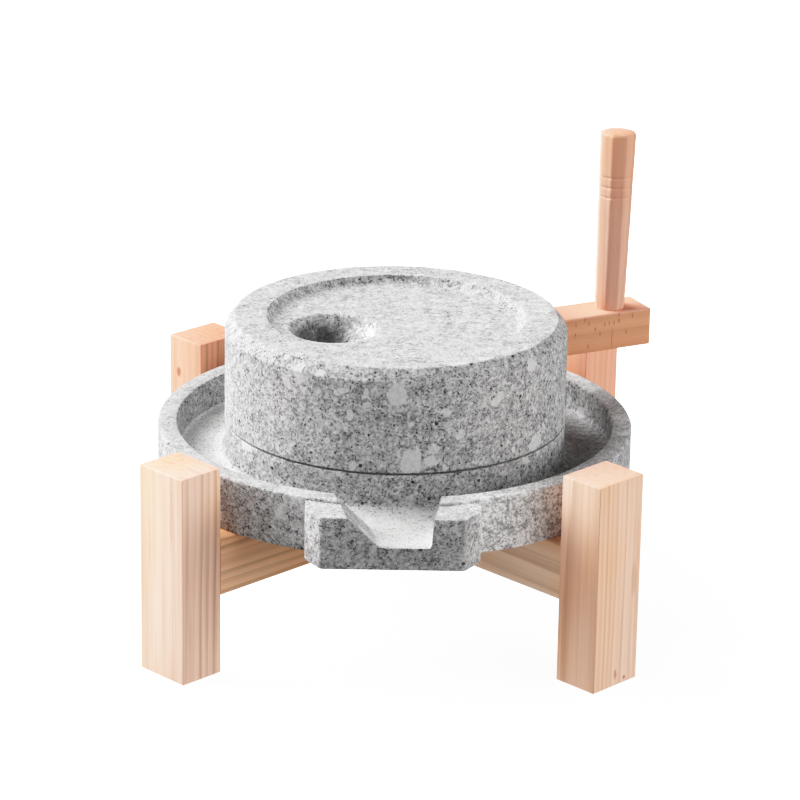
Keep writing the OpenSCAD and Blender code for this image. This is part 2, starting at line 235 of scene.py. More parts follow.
class Shader:
    """A material's node tree in the making."""

    # Strength of the plain reflection of every finish
    SHEEN = 0.35
    # Where a soft spot ends and where it is full, as shares of its reach
    SPOT_FADE = (1.25, 0.55)

    def __init__(self, name: str) -> None:
        """Starts an empty material.

        Args:
            name: Name of the material.
        """
        self.material = bpy.data.materials.new(name)
        self.material.use_nodes = True
        self.tree = self.material.node_tree
        self.tree.nodes.clear()

    def add(self, kind: str, settings: dict, values: dict, out: Union[str, int] = 0) -> Wire:
        """Adds a node.

        Args:
            kind: Blender's type of the node.
            settings: Its properties, set first. A ramp's stops are pairs of place and colour.
            values: Numbers, tuples or wires for its sockets, by identifier or name.
            out: The output that is wanted.

        Returns:
            The wire of that output.
        """
        node = self.tree.nodes.new(kind)
        for name, setting in settings.items():
            if name == "stops":
                self._set_stops(node.color_ramp, setting)
            else:
                setattr(node, name, setting)
        for name, value in values.items():
            socket = self._find(node.inputs, name)
            if isinstance(value, Wire):
                self.tree.links.new(value.socket, socket)
            else:
                socket.default_value = value
        return Wire(self, self._find(node.outputs, out))

    @staticmethod
    def _set_stops(ramp: bpy.types.ColorRamp, stops: Sequence[tuple[float, Colour]]) -> None:
        """Gives a ramp its stops.

        Args:
            ramp: The ramp to fill.
            stops: Place and colour of each stop, in order.
        """
        while len(ramp.elements) < len(stops):
            ramp.elements.new(1.0)
        for element, (place, colour) in zip(ramp.elements, stops):
            element.position = place
            element.color = (*colour, 1.0)

    @staticmethod
    def _find(sockets: bpy.types.bpy_prop_collection, name: Union[str, int]) -> bpy.types.NodeSocket:
        """Finds a socket.

        Args:
            sockets: Inputs or outputs of a node.
            name: Its number, identifier or name.

        Returns:
            The socket.
        """
        if isinstance(name, int):
            return sockets[name]
        for socket in sockets:
            if socket.identifier == name:
                return socket
        return next(socket for socket in sockets if socket.name == name and socket.enabled)

    def place(self) -> Wire:
        """Place on the piece, in metres of the frame."""
        return self.add("ShaderNodeTexCoord", {}, {}, "Object")

    def facing(self, direction: Triple) -> Wire:
        """How far the surface faces a direction.

        Args:
            direction: The direction, in the piece's own frame.

        Returns:
            The wire of the share, 1 for straight on.
        """
        normal = self.add("ShaderNodeTexCoord", {}, {}, "Normal")
        values = {"Vector": normal, "Vector_001": direction}
        return self.add("ShaderNodeVectorMath", {"operation": "DOT_PRODUCT"}, values, "Value")

    def local(
        self, where: Wire, middle: Triple, turn: Triple = (0.0, 0.0, 0.0), reach: Triple = (1.0, 1.0, 1.0),
    ) -> Wire:
        """Place in a frame of its own.

        Args:
            where: Place to express.
            middle: Origin of the frame.
            turn: Turn of the frame in radians.
            reach: Length of each of its units.

        Returns:
            The wire of the place in the frame.
        """
        values = {"Vector": where, "Location": middle, "Rotation": turn, "Scale": reach}
        return self.add("ShaderNodeMapping", {"vector_type": "TEXTURE"}, values)

    def spot(self, where: Wire, middle: Triple, reach: Triple) -> Wire:
        """A soft spot.

        Args:
            where: Place to read it at.
            middle: Its middle.
            reach: Half its length along each axis.

        Returns:
            The wire of a mask, 1 in the spot.
        """
        return self.local(where, middle, reach=reach).length().ramp(*self.SPOT_FADE)

    def jitter(self, where: Wire, scale: float, reach: float) -> Wire:
        """Shifts a place by soft noise.

        Args:
            where: Place to shift.
            scale: Waves in a metre.
            reach: About the largest shift.

        Returns:
            The wire of the shifted place.
        """
        shift = self.noise(where, scale, out="Color").moved((-NOISE_MIDDLE,) * 3)
        return where.moved(shift.stretched((reach / NOISE_MIDDLE,) * 3))

    def flecks(self, where: Wire, scale: float, share: float, largest: float, soft: float) -> Wire:
        """Scattered round flecks of many sizes.

        Args:
            where: Place to read them at.
            scale: Places for a fleck in a metre.
            share: Share of those places that hold one.
            largest: Radius of the largest, as a share of the distance between them.
            soft: Width of their edge, as the same share.

        Returns:
            The wire of a mask, 1 in a fleck.
        """
        distance = self.add("ShaderNodeTexVoronoi", {}, {"Vector": where, "Scale": scale}, "Distance")
        lot = Wire(self, distance.socket.node.outputs["Color"]).split()[0]
        return ((lot - 1.0 + share) / share * largest - distance).ramp(-soft, soft)

    def noise(self, where: Wire, scale: float, detail: float = 2.0, out: str = "Fac") -> Wire:
        """Soft noise.

        Args:
            where: Place to read it at.
            scale: Waves in a metre.
            detail: Number of finer layers.
            out: Fac for a value or Color for three.

        Returns:
            The wire of the noise, about 0 to 1.
        """
        return self.add("ShaderNodeTexNoise", {}, {"Vector": where, "Scale": scale, "Detail": detail}, out)

    def mix(self, factor: Value, first: object, second: object, how: Blend = Blend.PLAIN) -> Wire:
        """Mixes two colours.

        Args:
            factor: Share of the second colour.
            first: Wire or colour.
            second: Wire or colour.
            how: Way of mixing.

        Returns:
            The wire of the mixed colour.
        """
        sides = [side if isinstance(side, Wire) else (*side, 1.0) for side in (first, second)]
        values = {"Factor_Float": factor, "A_Color": sides[0], "B_Color": sides[1]}
        settings = {"data_type": "RGBA", "blend_type": how.value}
        return self.add("ShaderNodeMix", settings, values, "Result_Color")

    def finish(
        self, colour: Wire, rough: Value, height: Wire, depth: float, metal: float = 0.0, glow: float = 0.0,
    ) -> bpy.types.Material:
        """Closes the material with one surface.

        Args:
            colour: Base colour.
            rough: Roughness.
            height: Height of the relief, 0 to 1.
            depth: Height of the relief in metres.
            metal: 1 for bare metal.
            glow: Strength of the white light that the surface gives off.

        Returns:
            The finished material.
        """
        bump = self.add("ShaderNodeBump", {}, {"Strength": 1.0, "Distance": depth, "Height": height})
        values = {
            "Base Color": colour, "Roughness": rough, "Metallic": metal, "Normal": bump,
            "Specular IOR Level": self.SHEEN,
            "Emission Color": (1.0, 1.0, 1.0, 1.0), "Emission Strength": glow,
        }
        surface = self.add("ShaderNodeBsdfPrincipled", {}, values)
        output = self.tree.nodes.new("ShaderNodeOutputMaterial")
        self.tree.links.new(surface.socket, output.inputs["Surface"])
        return self.material


@dataclass(frozen=True)
class Crystal:
    """A large pale crystal in the side of a stone.

    Attributes:
        angle: Its direction from the mill's axis, in degrees.
        level: Level of its middle.
        width: Its width round the stone.
        height: Its height.
        turn: Its turn in the side of the stone, in degrees.
    """

    angle: float
    level: float
    width: float
    height: float
    turn: float


@dataclass(frozen=True)
class Patch:
    """A paler or darker patch of a stone, mostly painted light or painted shade.

    Attributes:
        place: Its middle.
        reach: Half its length along each axis.
        tone: Its grey.
        strength: How strongly it shows.
    """

    place: Triple
    reach: Triple
    tone: float
    strength: float


@dataclass(frozen=True)
class GraniteFinish:
    """Grey granite of fine dark, grey and pale grains, with some large pale crystals.

    Attributes:
        name: Name of the material.
        start: Shift of the pattern, so that two stones differ.
        radius: Radius of the side that holds the large crystals.
        crystals: The large crystals.
        patches: Patches of painted light and painted shade, paler and darker than the ground.
        flour_and_light_level: Level under which pale flour clings to what faces up, partly painted light
            where the trough lies in shade, or nought for none.
        seam: Level of a seam along which painted shade darkens the stone, or nought for none.
    """

    name: str
    start: Triple
    radius: float
    crystals: tuple[Crystal, ...] = ()
    patches: tuple[Patch, ...] = ()
    flour_and_light_level: float = 0.0
    seam: float = 0.0

    # Greys of the ground, each with the tone at which it is reached
    GROUND = (
        (0.30, (0.17, 0.17, 0.174)),
        (0.42, (0.31, 0.31, 0.314)),
        (0.52, (0.44, 0.44, 0.442)),
        (0.66, grey(0.64)),
    )
    # Colours of what lies in the ground and on it, with the painted highlight on tops, painted light in the
    # trough and painted shade at a seam
    QUARTZ = grey(0.66)
    GRAIN = (0.055, 0.055, 0.058)
    MICA = (0.03, 0.03, 0.032)
    CRYSTAL_DULL = grey(0.54)
    CRYSTAL_BRIGHT = grey(0.64)
    DUST_AND_HIGHLIGHT = (0.56, 0.56, 0.558)
    FLOUR_AND_LIGHT = (0.82, 0.82, 0.81)
    SEAM_SHADE = grey(0.04)

    # Waves of the patterns in a metre
    CLOUD_WAVES = 42.0
    SCATTER_WAVES = 80.0
    BLOTCH_WAVES = 165.0
    QUARTZ_WAVES = 350.0
    MOTTLE_WAVES = 430.0
    GRAIN_WAVES = 680.0
    PIT_WAVES = 900.0
    GRIT_WAVES = 1600.0

    # Waves in a metre and reach of the shifts that make an outline ragged
    GRAIN_RAGGED = (700.0, 0.5 * MM)
    CRYSTAL_RAGGED = (140.0, 3.6 * MM)
    CRYSTAL_NIBBLED = (420.0, 1.3 * MM)

    # Shifts that keep the quartz and the dark grains apart
    QUARTZ_SHIFT = (0.4, 0.0, 0.0)
    GRAIN_SHIFT = (0.0, 0.4, 0.0)

    # Values at which a pattern begins and is full
    QUARTZ_STEP = (0.60, 0.68)
    GRAIN_STEP = (0.57, 0.66)
    SCATTER_STEP = (0.685, 0.70)
    CRYSTAL_STEP = (1.25, 0.80)
    CRYSTAL_MOTTLE = (0.3, 0.7)
    PATCH_STEP = (0.38, 0.60)

    # How far a surface faces up where the dust with its painted highlight and the flour with its painted
    # light begin and are full, and where the painted shade at a seam does
    DUST_AND_HIGHLIGHT_FACING = (0.80, 0.98)
    FLOUR_AND_LIGHT_FACING = (0.45, 0.85)
    SEAM_SHADE_FACING = (0.95, 0.6)

    # Shares of mottle, grit, blotch and cloud in the tone of the ground
    TONE_SHARES = (0.6, 0.4, 0.35, 0.15)
    # How strongly each pattern shows
    QUARTZ_STRENGTH = 0.6
    GRAIN_STRENGTH = 0.85
    MICA_STRENGTH = 0.9
    CRYSTAL_STRENGTH = 0.92
    DUST_AND_HIGHLIGHT_STRENGTH = 0.24
    DUST_AND_HIGHLIGHT_CLOUDING = 0.6
    FLOUR_AND_LIGHT_STRENGTH = 0.56
    FLOUR_AND_LIGHT_CLOUDING = 0.8
    SEAM_SHADE_STRENGTH = 0.85
    # How far the dark grains crowd where the ground is dark, and show through the flour with its painted
    # light and through the patches of painted light and shade
    GRAIN_CROWDING = 0.25
    GRAIN_IN_FLOUR_AND_LIGHT = 0.8
    GRAIN_IN_PATCH = 0.55

    # Places for a mica fleck in a metre, share that hold one, size of the largest and width of its edge
    MICA_FLECKS = (170.0, 0.14, 0.24, 0.03)
    # How square a crystal is, and a distance in its own size at which there is none
    CRYSTAL_POWER = 3.0
    CRYSTAL_FAR = 9.0
    # Darkest and palest part of a patch, as shares of its grey
    PATCH_RANGE = (0.5, 1.12)
    # Height over which the flour and its painted light end
    FLOUR_AND_LIGHT_FADE = 4 * MM
    # X at which the flour and its painted light begin and are full, X between which they thicken towards the
    # shaded left of the trough, and by how much
    FLOUR_AND_LIGHT_SIDE = (90 * MM, 35 * MM)
    FLOUR_AND_LIGHT_DRIFT = (-60 * MM, -110 * MM)
    FLOUR_AND_LIGHT_DRIFT_STRENGTH = 0.32
    # Height above a seam at which its painted shade ends and is full
    SEAM_SHADE_REACH = (1.4 * MM, 0.5 * MM)
    # Share of the pits in the relief, height of the relief, least roughness and how far pits add to it
    PIT_SHARE = 0.7
    RELIEF = 0.22 * MM
    ROUGH = 0.66
    ROUGH_SWING = 0.25

    def crystal_mask(self, stone: Shader) -> Wire:
        """Mask of the large crystals.

        Args:
            stone: The material in the making.

        Returns:
            The wire of the mask, 1 in a crystal.
        """
        ragged = stone.jitter(stone.place(), *self.CRYSTAL_RAGGED)
        ragged = stone.jitter(ragged, *self.CRYSTAL_NIBBLED)
        scattered = stone.noise(ragged.moved(self.start), self.SCATTER_WAVES, detail=1.0)
        scattered = scattered.ramp(*self.SCATTER_STEP)
        if not self.crystals:
            return scattered
        nearest: Value = self.CRYSTAL_FAR
        for crystal in self.crystals:
            middle = around(crystal.angle) @ Vector((self.radius, 0.0, crystal.level))
            turn = (math.radians(crystal.turn), 0.0, math.radians(crystal.angle))
            reach = (crystal.width / 2, crystal.width / 2, crystal.height / 2)
            parts = stone.local(ragged, tuple(middle), turn, reach).split()
            depth, side, rise = (abs(part) ** self.CRYSTAL_POWER for part in parts)
            nearest = (depth + side + rise).smaller(nearest)
        return scattered.larger(nearest.ramp(*self.CRYSTAL_STEP))

    def flour_and_light_mask(self, stone: Shader, upward: Wire, cloud: Wire) -> Wire:
        """Mask of the pale flour on what faces up, partly painted light where the trough lies in shade.

        Args:
            stone: The material in the making.
            upward: How far the surface faces up.
            cloud: Wide noise about nought.

        Returns:
            The wire of the mask, 1 under full flour and painted light.
        """
        across, _, level = stone.place().split()
        low = level.ramp(self.flour_and_light_level + self.FLOUR_AND_LIGHT_FADE, self.flour_and_light_level - self.FLOUR_AND_LIGHT_FADE)
        drift = across.ramp(*self.FLOUR_AND_LIGHT_DRIFT) * self.FLOUR_AND_LIGHT_DRIFT_STRENGTH
        amount = self.FLOUR_AND_LIGHT_STRENGTH + drift + cloud * self.FLOUR_AND_LIGHT_CLOUDING
        return upward.ramp(*self.FLOUR_AND_LIGHT_FACING) * low * across.ramp(*self.FLOUR_AND_LIGHT_SIDE) * amount

    def seam_shade_mask(self, stone: Shader, upward: Wire) -> Wire:
        """Mask of the painted shade along the seam.

        Args:
            stone: The material in the making.
            upward: How far the surface faces up.

        Returns:
            The wire of the mask, 1 in full painted shade.
        """
        above = stone.place().split()[2] - self.seam
        return above.ramp(*self.SEAM_SHADE_REACH) * abs(upward).ramp(*self.SEAM_SHADE_FACING)

    def material(self) -> bpy.types.Material:
        """Builds the material.

        Returns:
            The finished material.
        """
        stone = Shader(self.name)
        place = stone.place().moved(self.start)
        point = stone.jitter(place, *self.GRAIN_RAGGED)
        cloud = stone.noise(place, self.CLOUD_WAVES, detail=3.0) - NOISE_MIDDLE
        blotch = stone.noise(place, self.BLOTCH_WAVES, detail=3.0) - NOISE_MIDDLE
        mottle = stone.noise(point, self.MOTTLE_WAVES)
        grit = stone.noise(point, self.GRIT_WAVES, detail=1.0)
        fine, finest, wide, widest = self.TONE_SHARES
        tone = mottle * fine + grit * finest + blotch * wide + cloud * widest
        colour = stone.add("ShaderNodeValToRGB", {"stops": self.GROUND}, {"Fac": tone}, "Color")
        quartz = stone.noise(point.moved(self.QUARTZ_SHIFT), self.QUARTZ_WAVES).ramp(*self.QUARTZ_STEP)
        colour = stone.mix(quartz * self.QUARTZ_STRENGTH, colour, self.QUARTZ)
        grains = stone.noise(point.moved(self.GRAIN_SHIFT), self.GRAIN_WAVES, detail=2.5)
        grains = (grains - blotch * self.GRAIN_CROWDING).ramp(*self.GRAIN_STEP)
        colour = stone.mix(grains * self.GRAIN_STRENGTH, colour, self.GRAIN)
        mica = stone.flecks(point, *self.MICA_FLECKS)
        colour = stone.mix(mica * self.MICA_STRENGTH, colour, self.MICA)
        pale = stone.mix(mottle.ramp(*self.CRYSTAL_MOTTLE), self.CRYSTAL_DULL, self.CRYSTAL_BRIGHT)
        colour = stone.mix(self.crystal_mask(stone) * self.CRYSTAL_STRENGTH, colour, pale)
        upward = stone.facing((0.0, 0.0, 1.0))
        # Tops made paler and of less contrast: partly real stone dust, partly a painted highlight of brightly
        # lit tops
        dust_and_highlight = upward.ramp(*self.DUST_AND_HIGHLIGHT_FACING) * (self.DUST_AND_HIGHLIGHT_STRENGTH + cloud * self.DUST_AND_HIGHLIGHT_CLOUDING)
        colour = stone.mix(dust_and_highlight, colour, self.DUST_AND_HIGHLIGHT)
        # Pale flour in the trough, partly real and partly painted light where the trough lies in shade
        if self.flour_and_light_level:
            flour_and_light = self.flour_and_light_mask(stone, upward, cloud) * (1.0 - grains * self.GRAIN_IN_FLOUR_AND_LIGHT)
            colour = stone.mix(flour_and_light, colour, self.FLOUR_AND_LIGHT)
        # Patches of painted light and painted shade
        darkest, palest = self.PATCH_RANGE
        for patch in self.patches:
            shown = stone.spot(stone.place(), patch.place, patch.reach) * patch.strength
            shown = shown * (1.0 - grains * self.GRAIN_IN_PATCH)
            ends = (grey(patch.tone * darkest), grey(patch.tone * palest))
            colour = stone.mix(shown, colour, stone.mix(tone.ramp(*self.PATCH_STEP), *ends))
        # Painted shade along the seam between the stones
        if self.seam:
            colour = stone.mix(self.seam_shade_mask(stone, upward) * self.SEAM_SHADE_STRENGTH, colour, self.SEAM_SHADE)
        pits = stone.noise(place, self.PIT_WAVES, detail=3.0)
        relief = pits * self.PIT_SHARE + tone * (1.0 - self.PIT_SHARE)
        return stone.finish(colour, self.ROUGH + pits * self.ROUGH_SWING, relief, self.RELIEF)


@dataclass(frozen=True)
class Mark:
    """A mark in a timber, such as a knot or a crack.

    Attributes:
        place: Its middle in the timber's own frame, with Z along the grain.
        reach: Half its length along each axis of that frame.
        colour: Its colour.
        strength: How strongly it shows.
    """

    place: Triple
    reach: Triple
    colour: Colour
    strength: float


@dataclass(frozen=True)
class Figure:
    """A pattern that runs along the grain of a timber.

    Attributes:
        waves: Waves in a metre across the grain.
        along: Share of them along the grain.
        detail: Number of finer layers.
    """

    waves: float
    along: float
    detail: float

    def wire(self, wood: Shader, where: Wire) -> Wire:
        """Its noise at a place in the timber's own frame."""
        return wood.noise(where.stretched((1.0, 1.0, self.along)), self.waves, self.detail)


@dataclass(frozen=True)
class SoftwoodFinish:
    """Planed softwood with growth rings round a pith beside the timber.

    Attributes:
        name: Name of the material.
        middle: Middle of the timber.
        turn: Turn of the timber that lays Z along the grain.
        pith: Place of the pith across the grain, from the middle.
        pitch: Width of a growth ring.
        early: Colour of the pale part of a ring.
        late: Colour of the dark part of a ring.
        strength: How strongly the dark part shows.
        start: Shift of the pattern along the grain, so that two timbers differ.
        marks: Knots, stains, cracks and painted highlights.
    """

    name: str
    middle: Triple
    turn: Triple
    pith: tuple[float, float]
    pitch: float
    early: Colour
    late: Colour
    strength: float
    start: float
    marks: tuple[Mark, ...] = ()

    WANDER = Figure(24.0, 0.16, 1.0)
    FIBRE = Figure(1100.0, 0.012, 2.0)
    STREAK = Figure(210.0, 0.02, 3.0)
    DRIFT = Figure(17.0, 0.35, 2.0)

    # How many rings the wander shifts a ring by
    WANDER_RINGS = 1.5
    # Parts of a ring in which its dark wood comes up and ends
    RING_RISE = (0.30, 0.88)
    RING_FALL = (1.0, 0.94)
    # How far the dark of one ring differs from that of another
    RING_SWING = 0.75
    # How far a surface faces along the grain where end grain begins and is full
    END_FACING = (0.7, 0.95)
    # How far end grain hides the rings and the fibres, its tint and how strongly that shows
    END_HIDES_RINGS = 0.7
    END_HIDES_FIBRES = 0.5
    END_TINT = (0.98, 0.84, 0.83)
    END_STRENGTH = 0.7
    # Factors that turn the pale wood to its warmer drift, and values at which that begins and is full
    WARMTH = (1.0, 0.86, 0.72)
    DRIFT_STEP = (0.38, 0.66)
    # Values at which a dark streak begins and is full, and its strength beside that of the rings
    STREAK_STEP = (0.46, 0.74)
    STREAK_STRENGTH = 0.6
    # Shades of the fibres
    FIBRE_DARK = (0.88, 0.86, 0.84)
    FIBRE_PALE = (1.10, 1.11, 1.12)
    # Waves in a metre and reach of the shift that makes the marks ragged
    MARK_RAGGED = (300.0, 0.8 * MM)
    # Share of the fibres in the relief, height of the relief, least roughness and how far fibres add to it
    FIBRE_SHARE = 0.7
    RELIEF = 0.08 * MM
    ROUGH = 0.52
    ROUGH_SWING = 0.2

    def grain(self) -> Triple:
        """Direction of the grain."""
        return tuple(Euler(self.turn).to_matrix() @ Vector((0.0, 0.0, 1.0)))

    def dark_rings(self, wood: Shader, where: Wire, end_grain: Wire) -> Wire:
        """Mask of the dark wood of the growth rings.

        Args:
            wood: The material in the making.
            where: Place in the timber's own frame.
            end_grain: Mask of the end grain.

        Returns:
            The wire of the mask, 1 in the darkest wood.
        """
        across, along_face, _ = where.split()
        wander = self.WANDER.wire(wood, where) - NOISE_MIDDLE
        radius = ((across - self.pith[0]) ** 2.0 + (along_face - self.pith[1]) ** 2.0) ** 0.5
        phase = radius / self.pitch + wander * self.WANDER_RINGS
        ring = phase.fraction()
        lot = wood.add("ShaderNodeTexWhiteNoise", {"noise_dimensions": "1D"}, {"W": phase.floor()}, "Value")
        depth = lot * self.RING_SWING + (1.0 - self.RING_SWING)
        shown = 1.0 - end_grain * self.END_HIDES_RINGS
        return ring.ramp(*self.RING_RISE) * ring.ramp(*self.RING_FALL) * depth * shown

    def material(self) -> bpy.types.Material:
        """Builds the material.

        Returns:
            The finished material.
        """
        wood = Shader(self.name)
        own = wood.local(wood.place(), self.middle, self.turn)
        local = own.moved((0.0, 0.0, self.start))
        end_grain = abs(wood.facing(self.grain())).ramp(*self.END_FACING)
        dark = self.dark_rings(wood, local, end_grain)
        fibre = self.FIBRE.wire(wood, local)
        streak = self.STREAK.wire(wood, local).ramp(*self.STREAK_STEP)
        drift = self.DRIFT.wire(wood, local).ramp(*self.DRIFT_STEP)
        warm = tuple(channel * factor for channel, factor in zip(self.early, self.WARMTH))
        colour = wood.mix(drift, self.early, warm)
        colour = wood.mix(dark * self.strength, colour, self.late)
        colour = wood.mix(streak * (self.strength * self.STREAK_STRENGTH), colour, self.late)
        shade = wood.mix(fibre, self.FIBRE_DARK, self.FIBRE_PALE)
        colour = wood.mix(1.0 - end_grain * self.END_HIDES_FIBRES, colour, shade, Blend.SHADE)
        colour = wood.mix(end_grain * self.END_STRENGTH, colour, self.END_TINT, Blend.SHADE)
        ragged = wood.jitter(own, *self.MARK_RAGGED)
        for mark in self.marks:
            shown = wood.spot(ragged, mark.place, mark.reach) * mark.strength
            colour = wood.mix(shown, colour, mark.colour)
        relief = fibre * self.FIBRE_SHARE + dark * (1.0 - self.FIBRE_SHARE)
        return wood.finish(colour, self.ROUGH + fibre * self.ROUGH_SWING, relief, self.RELIEF)


@dataclass(frozen=True)
class SteelFinish:
    """Turned steel with fine rings along its axis.

    Attributes:
        name: Name of the material.
    """

    name: str

    DARK = (0.42, 0.42, 0.43)
    PALE = (0.60, 0.60, 0.61)
    # Stretch of the pattern that lays the turned rings round the axis
    RING_STRETCH = (0.03, 0.03, 1.0)
    # Waves of the patterns in a metre
    RING_WAVES = 2500.0
    STAIN_WAVES = 90.0
    # Least roughness, how far rings and stains add to it, and the height of the relief
    ROUGH = 0.25
    RING_ROUGH = 0.2
    STAIN_ROUGH = 0.1
    RELIEF = 0.03 * MM

    def material(self) -> bpy.types.Material:
        """Builds the material.

        Returns:
            The finished material.
        """
        steel = Shader(self.name)
        place = steel.place()
        rings = steel.noise(place.stretched(self.RING_STRETCH), self.RING_WAVES)
        stain = steel.noise(place, self.STAIN_WAVES, detail=3.0)
        colour = steel.mix(stain, self.DARK, self.PALE)
        rough = self.ROUGH + rings * self.RING_ROUGH + stain * self.STAIN_ROUGH
        return steel.finish(colour, rough, rings, self.RELIEF, metal=1.0)


@dataclass(frozen=True)
class Corner:
    """A corner of an outline.

    Attributes:
        across: Distance from the axis, or X.
        along: Height, or Y.
        ease: How far its rounding reaches along both sides.
    """

    across: float
    along: float
    ease: float = 0.0


class Workpiece:
    """A mesh in the making."""

    # Steps in the rounding of one corner
    EASE_STEPS = 4
    # Angle in degrees between two faces above which their edge is sharp
    SHARP = 20.0

    def __init__(self) -> None:
        """Starts with nothing."""
        self.mesh = bmesh.new()

    def _outline(self, corners: Sequence[Corner], closed: bool) -> list[bmesh.types.BMVert]:
        """Draws an outline with eased corners.

        Args:
            corners: Its corners in order.
            closed: Whether the last corner joins the first.

        Returns:
            The corners as drawn, before they are eased.
        """
        drawn = [self.mesh.verts.new((corner.across, 0.0, corner.along)) for corner in corners]
        pairs = list(zip(drawn, drawn[1:] + drawn[:1]))
        for first, second in pairs if closed else pairs[:-1]:
            self.mesh.edges.new((first, second))
        for vertex, corner in zip(drawn, corners):
            if corner.ease:
                bmesh.ops.bevel(
                    self.mesh, geom=[vertex], offset=corner.ease, affect="VERTICES",
                    segments=self.EASE_STEPS, profile=0.5, material=-1,
                )
        return drawn

    @classmethod
    def turned(cls, corners: Sequence[Corner], steps: int, fine: float) -> Workpiece:
        """Spins an outline about Z.

        Args:
            corners: Outline from the axis round to the axis.
            steps: Steps in the full turn.
            fine: Longest stretch of the outline without a division.

        Returns:
            The turned piece.
        """
        work = cls()
        work._outline(corners, closed=False)
        for edge in list(work.mesh.edges):
            cuts = int(edge.calc_length() / fine)
            if cuts:
                bmesh.ops.subdivide_edges(work.mesh, edges=[edge], cuts=cuts)
        geom = list(work.mesh.verts) + list(work.mesh.edges)
        bmesh.ops.spin(
            work.mesh, geom=geom, cent=(0.0, 0.0, 0.0), axis=(0.0, 0.0, 1.0),
            angle=math.tau, steps=steps, use_merge=True,
        )
        return work.closed()

    @classmethod
    def sawn(cls, corners: Sequence[Corner], length: float) -> Workpiece:
        """Draws a flat outline in X and Y and raises it along Z.

        Args:
            corners: Outline of the face, all round.
            length: Height of the piece, from Z = 0.

        Returns:
            The sawn piece.
        """
        work = cls()
        work._outline(corners, closed=True)
        bmesh.ops.rotate(work.mesh, verts=work.mesh.verts, matrix=Matrix.Rotation(-math.pi / 2, 3, "X"))
        face = bmesh.ops.contextual_create(work.mesh, geom=list(work.mesh.edges))["faces"]
        raised = bmesh.ops.extrude_face_region(work.mesh, geom=face)["geom"]
        top = [item for item in raised if isinstance(item, bmesh.types.BMVert)]
        bmesh.ops.translate(work.mesh, verts=top, vec=(0.0, 0.0, length))
        return work.closed()

    @classmethod
    def block(cls, size: Triple) -> Workpiece:
        """A block whose middle is at the origin.

        Args:
            size: Its lengths along X, Y and Z.

        Returns:
            The block.
        """
        work = cls()
        bmesh.ops.create_cube(work.mesh, size=1.0)
        bmesh.ops.scale(work.mesh, verts=work.mesh.verts, vec=size)
        return work

    def closed(self) -> Workpiece:
        """Welds its corners and turns its faces outwards.

        Returns:
            The same piece.
        """
        bmesh.ops.remove_doubles(self.mesh, verts=self.mesh.verts, dist=WELD)
        bmesh.ops.recalc_face_normals(self.mesh, faces=self.mesh.faces)
        return self

    def eased(self, width: float, which: EdgeTest = lambda edge: True) -> Workpiece:
        """Rounds its sharp edges.

        Args:
            width: Width of the rounding.
            which: Says which edges are rounded.

        Returns:
            The same piece.
        """
        least = math.radians(self.SHARP)
        sharp = [edge for edge in self.mesh.edges if edge.calc_face_angle(0.0) > least and which(edge)]
        bmesh.ops.bevel(
            self.mesh, geom=sharp, offset=width, affect="EDGES",
            segments=self.EASE_STEPS, profile=0.5, material=-1, clamp_overlap=True,
        )
        return self

    def placed(self, matrix: Matrix) -> Workpiece:
        """Moves and turns it."""
        bmesh.ops.transform(self.mesh, matrix=matrix, verts=self.mesh.verts)
        return self

    def worn(self, depth: float, wave: float, which: PlaceTest) -> Workpiece:
        """Makes its surface slightly uneven.

        Args:
            depth: Largest move of the surface.
            wave: Length of the waves.
            which: Says which corners move.

        Returns:
            The same piece.
        """
        self.mesh.normal_update()
        moves = [
            (vertex, vertex.normal * depth * noise.noise(vertex.co / wave))
            for vertex in self.mesh.verts if which(vertex.co)
        ]
        for vertex, move in moves:
            vertex.co += move
        return self

    def added(self, other: Workpiece) -> Workpiece:
        """Takes another piece in as it stands.

        Args:
            other: The other piece, which is used up.

        Returns:
            The same piece.
        """
        spare = bpy.data.meshes.new("spare")
        other.mesh.to_mesh(spare)
        other.mesh.free()
        self.mesh.from_mesh(spare)
        bpy.data.meshes.remove(spare)
        return self

    def piece(self, name: str) -> bpy.types.Object:
        """Ends the making.

        Args:
            name: Name of the piece.

        Returns:
            The piece as an object in the scene.
        """
        data = bpy.data.meshes.new(name)
        self.mesh.to_mesh(data)
        self.mesh.free()
        made = bpy.data.objects.new(name, data)
        bpy.context.scene.collection.objects.link(made)
        return made


def carve(piece: bpy.types.Object, tool: Workpiece, how: Cut = Cut.TAKE) -> None:
    """Cuts a piece with a tool, or joins the tool to it, and clears the slivers that this leaves.

    Args:
        piece: The piece to change.
        tool: The other solid, which is used up.
        how: Whether it is taken away or joined.
    """
    cutter = tool.piece("cutter")
    modifier = piece.modifiers.new("carve", "BOOLEAN")
    modifier.operation = how.value
    modifier.solver = "EXACT"
    modifier.object = cutter
    graph = bpy.context.evaluated_depsgraph_get()
    carved = bpy.data.meshes.new_from_object(piece.evaluated_get(graph))
    clean = bmesh.new()
    clean.from_mesh(carved)
    bmesh.ops.remove_doubles(clean, verts=clean.verts, dist=SLIVER)
    many_sided = [face for face in clean.faces if len(face.verts) > 4]
    bmesh.ops.triangulate(clean, faces=many_sided)
    bmesh.ops.dissolve_degenerate(clean, edges=clean.edges, dist=SLIVER)
    clean.to_mesh(carved)
    clean.free()
    piece.modifiers.clear()
    old, piece.data = piece.data, carved
    bpy.data.meshes.remove(old)
    bpy.data.objects.remove(cutter)


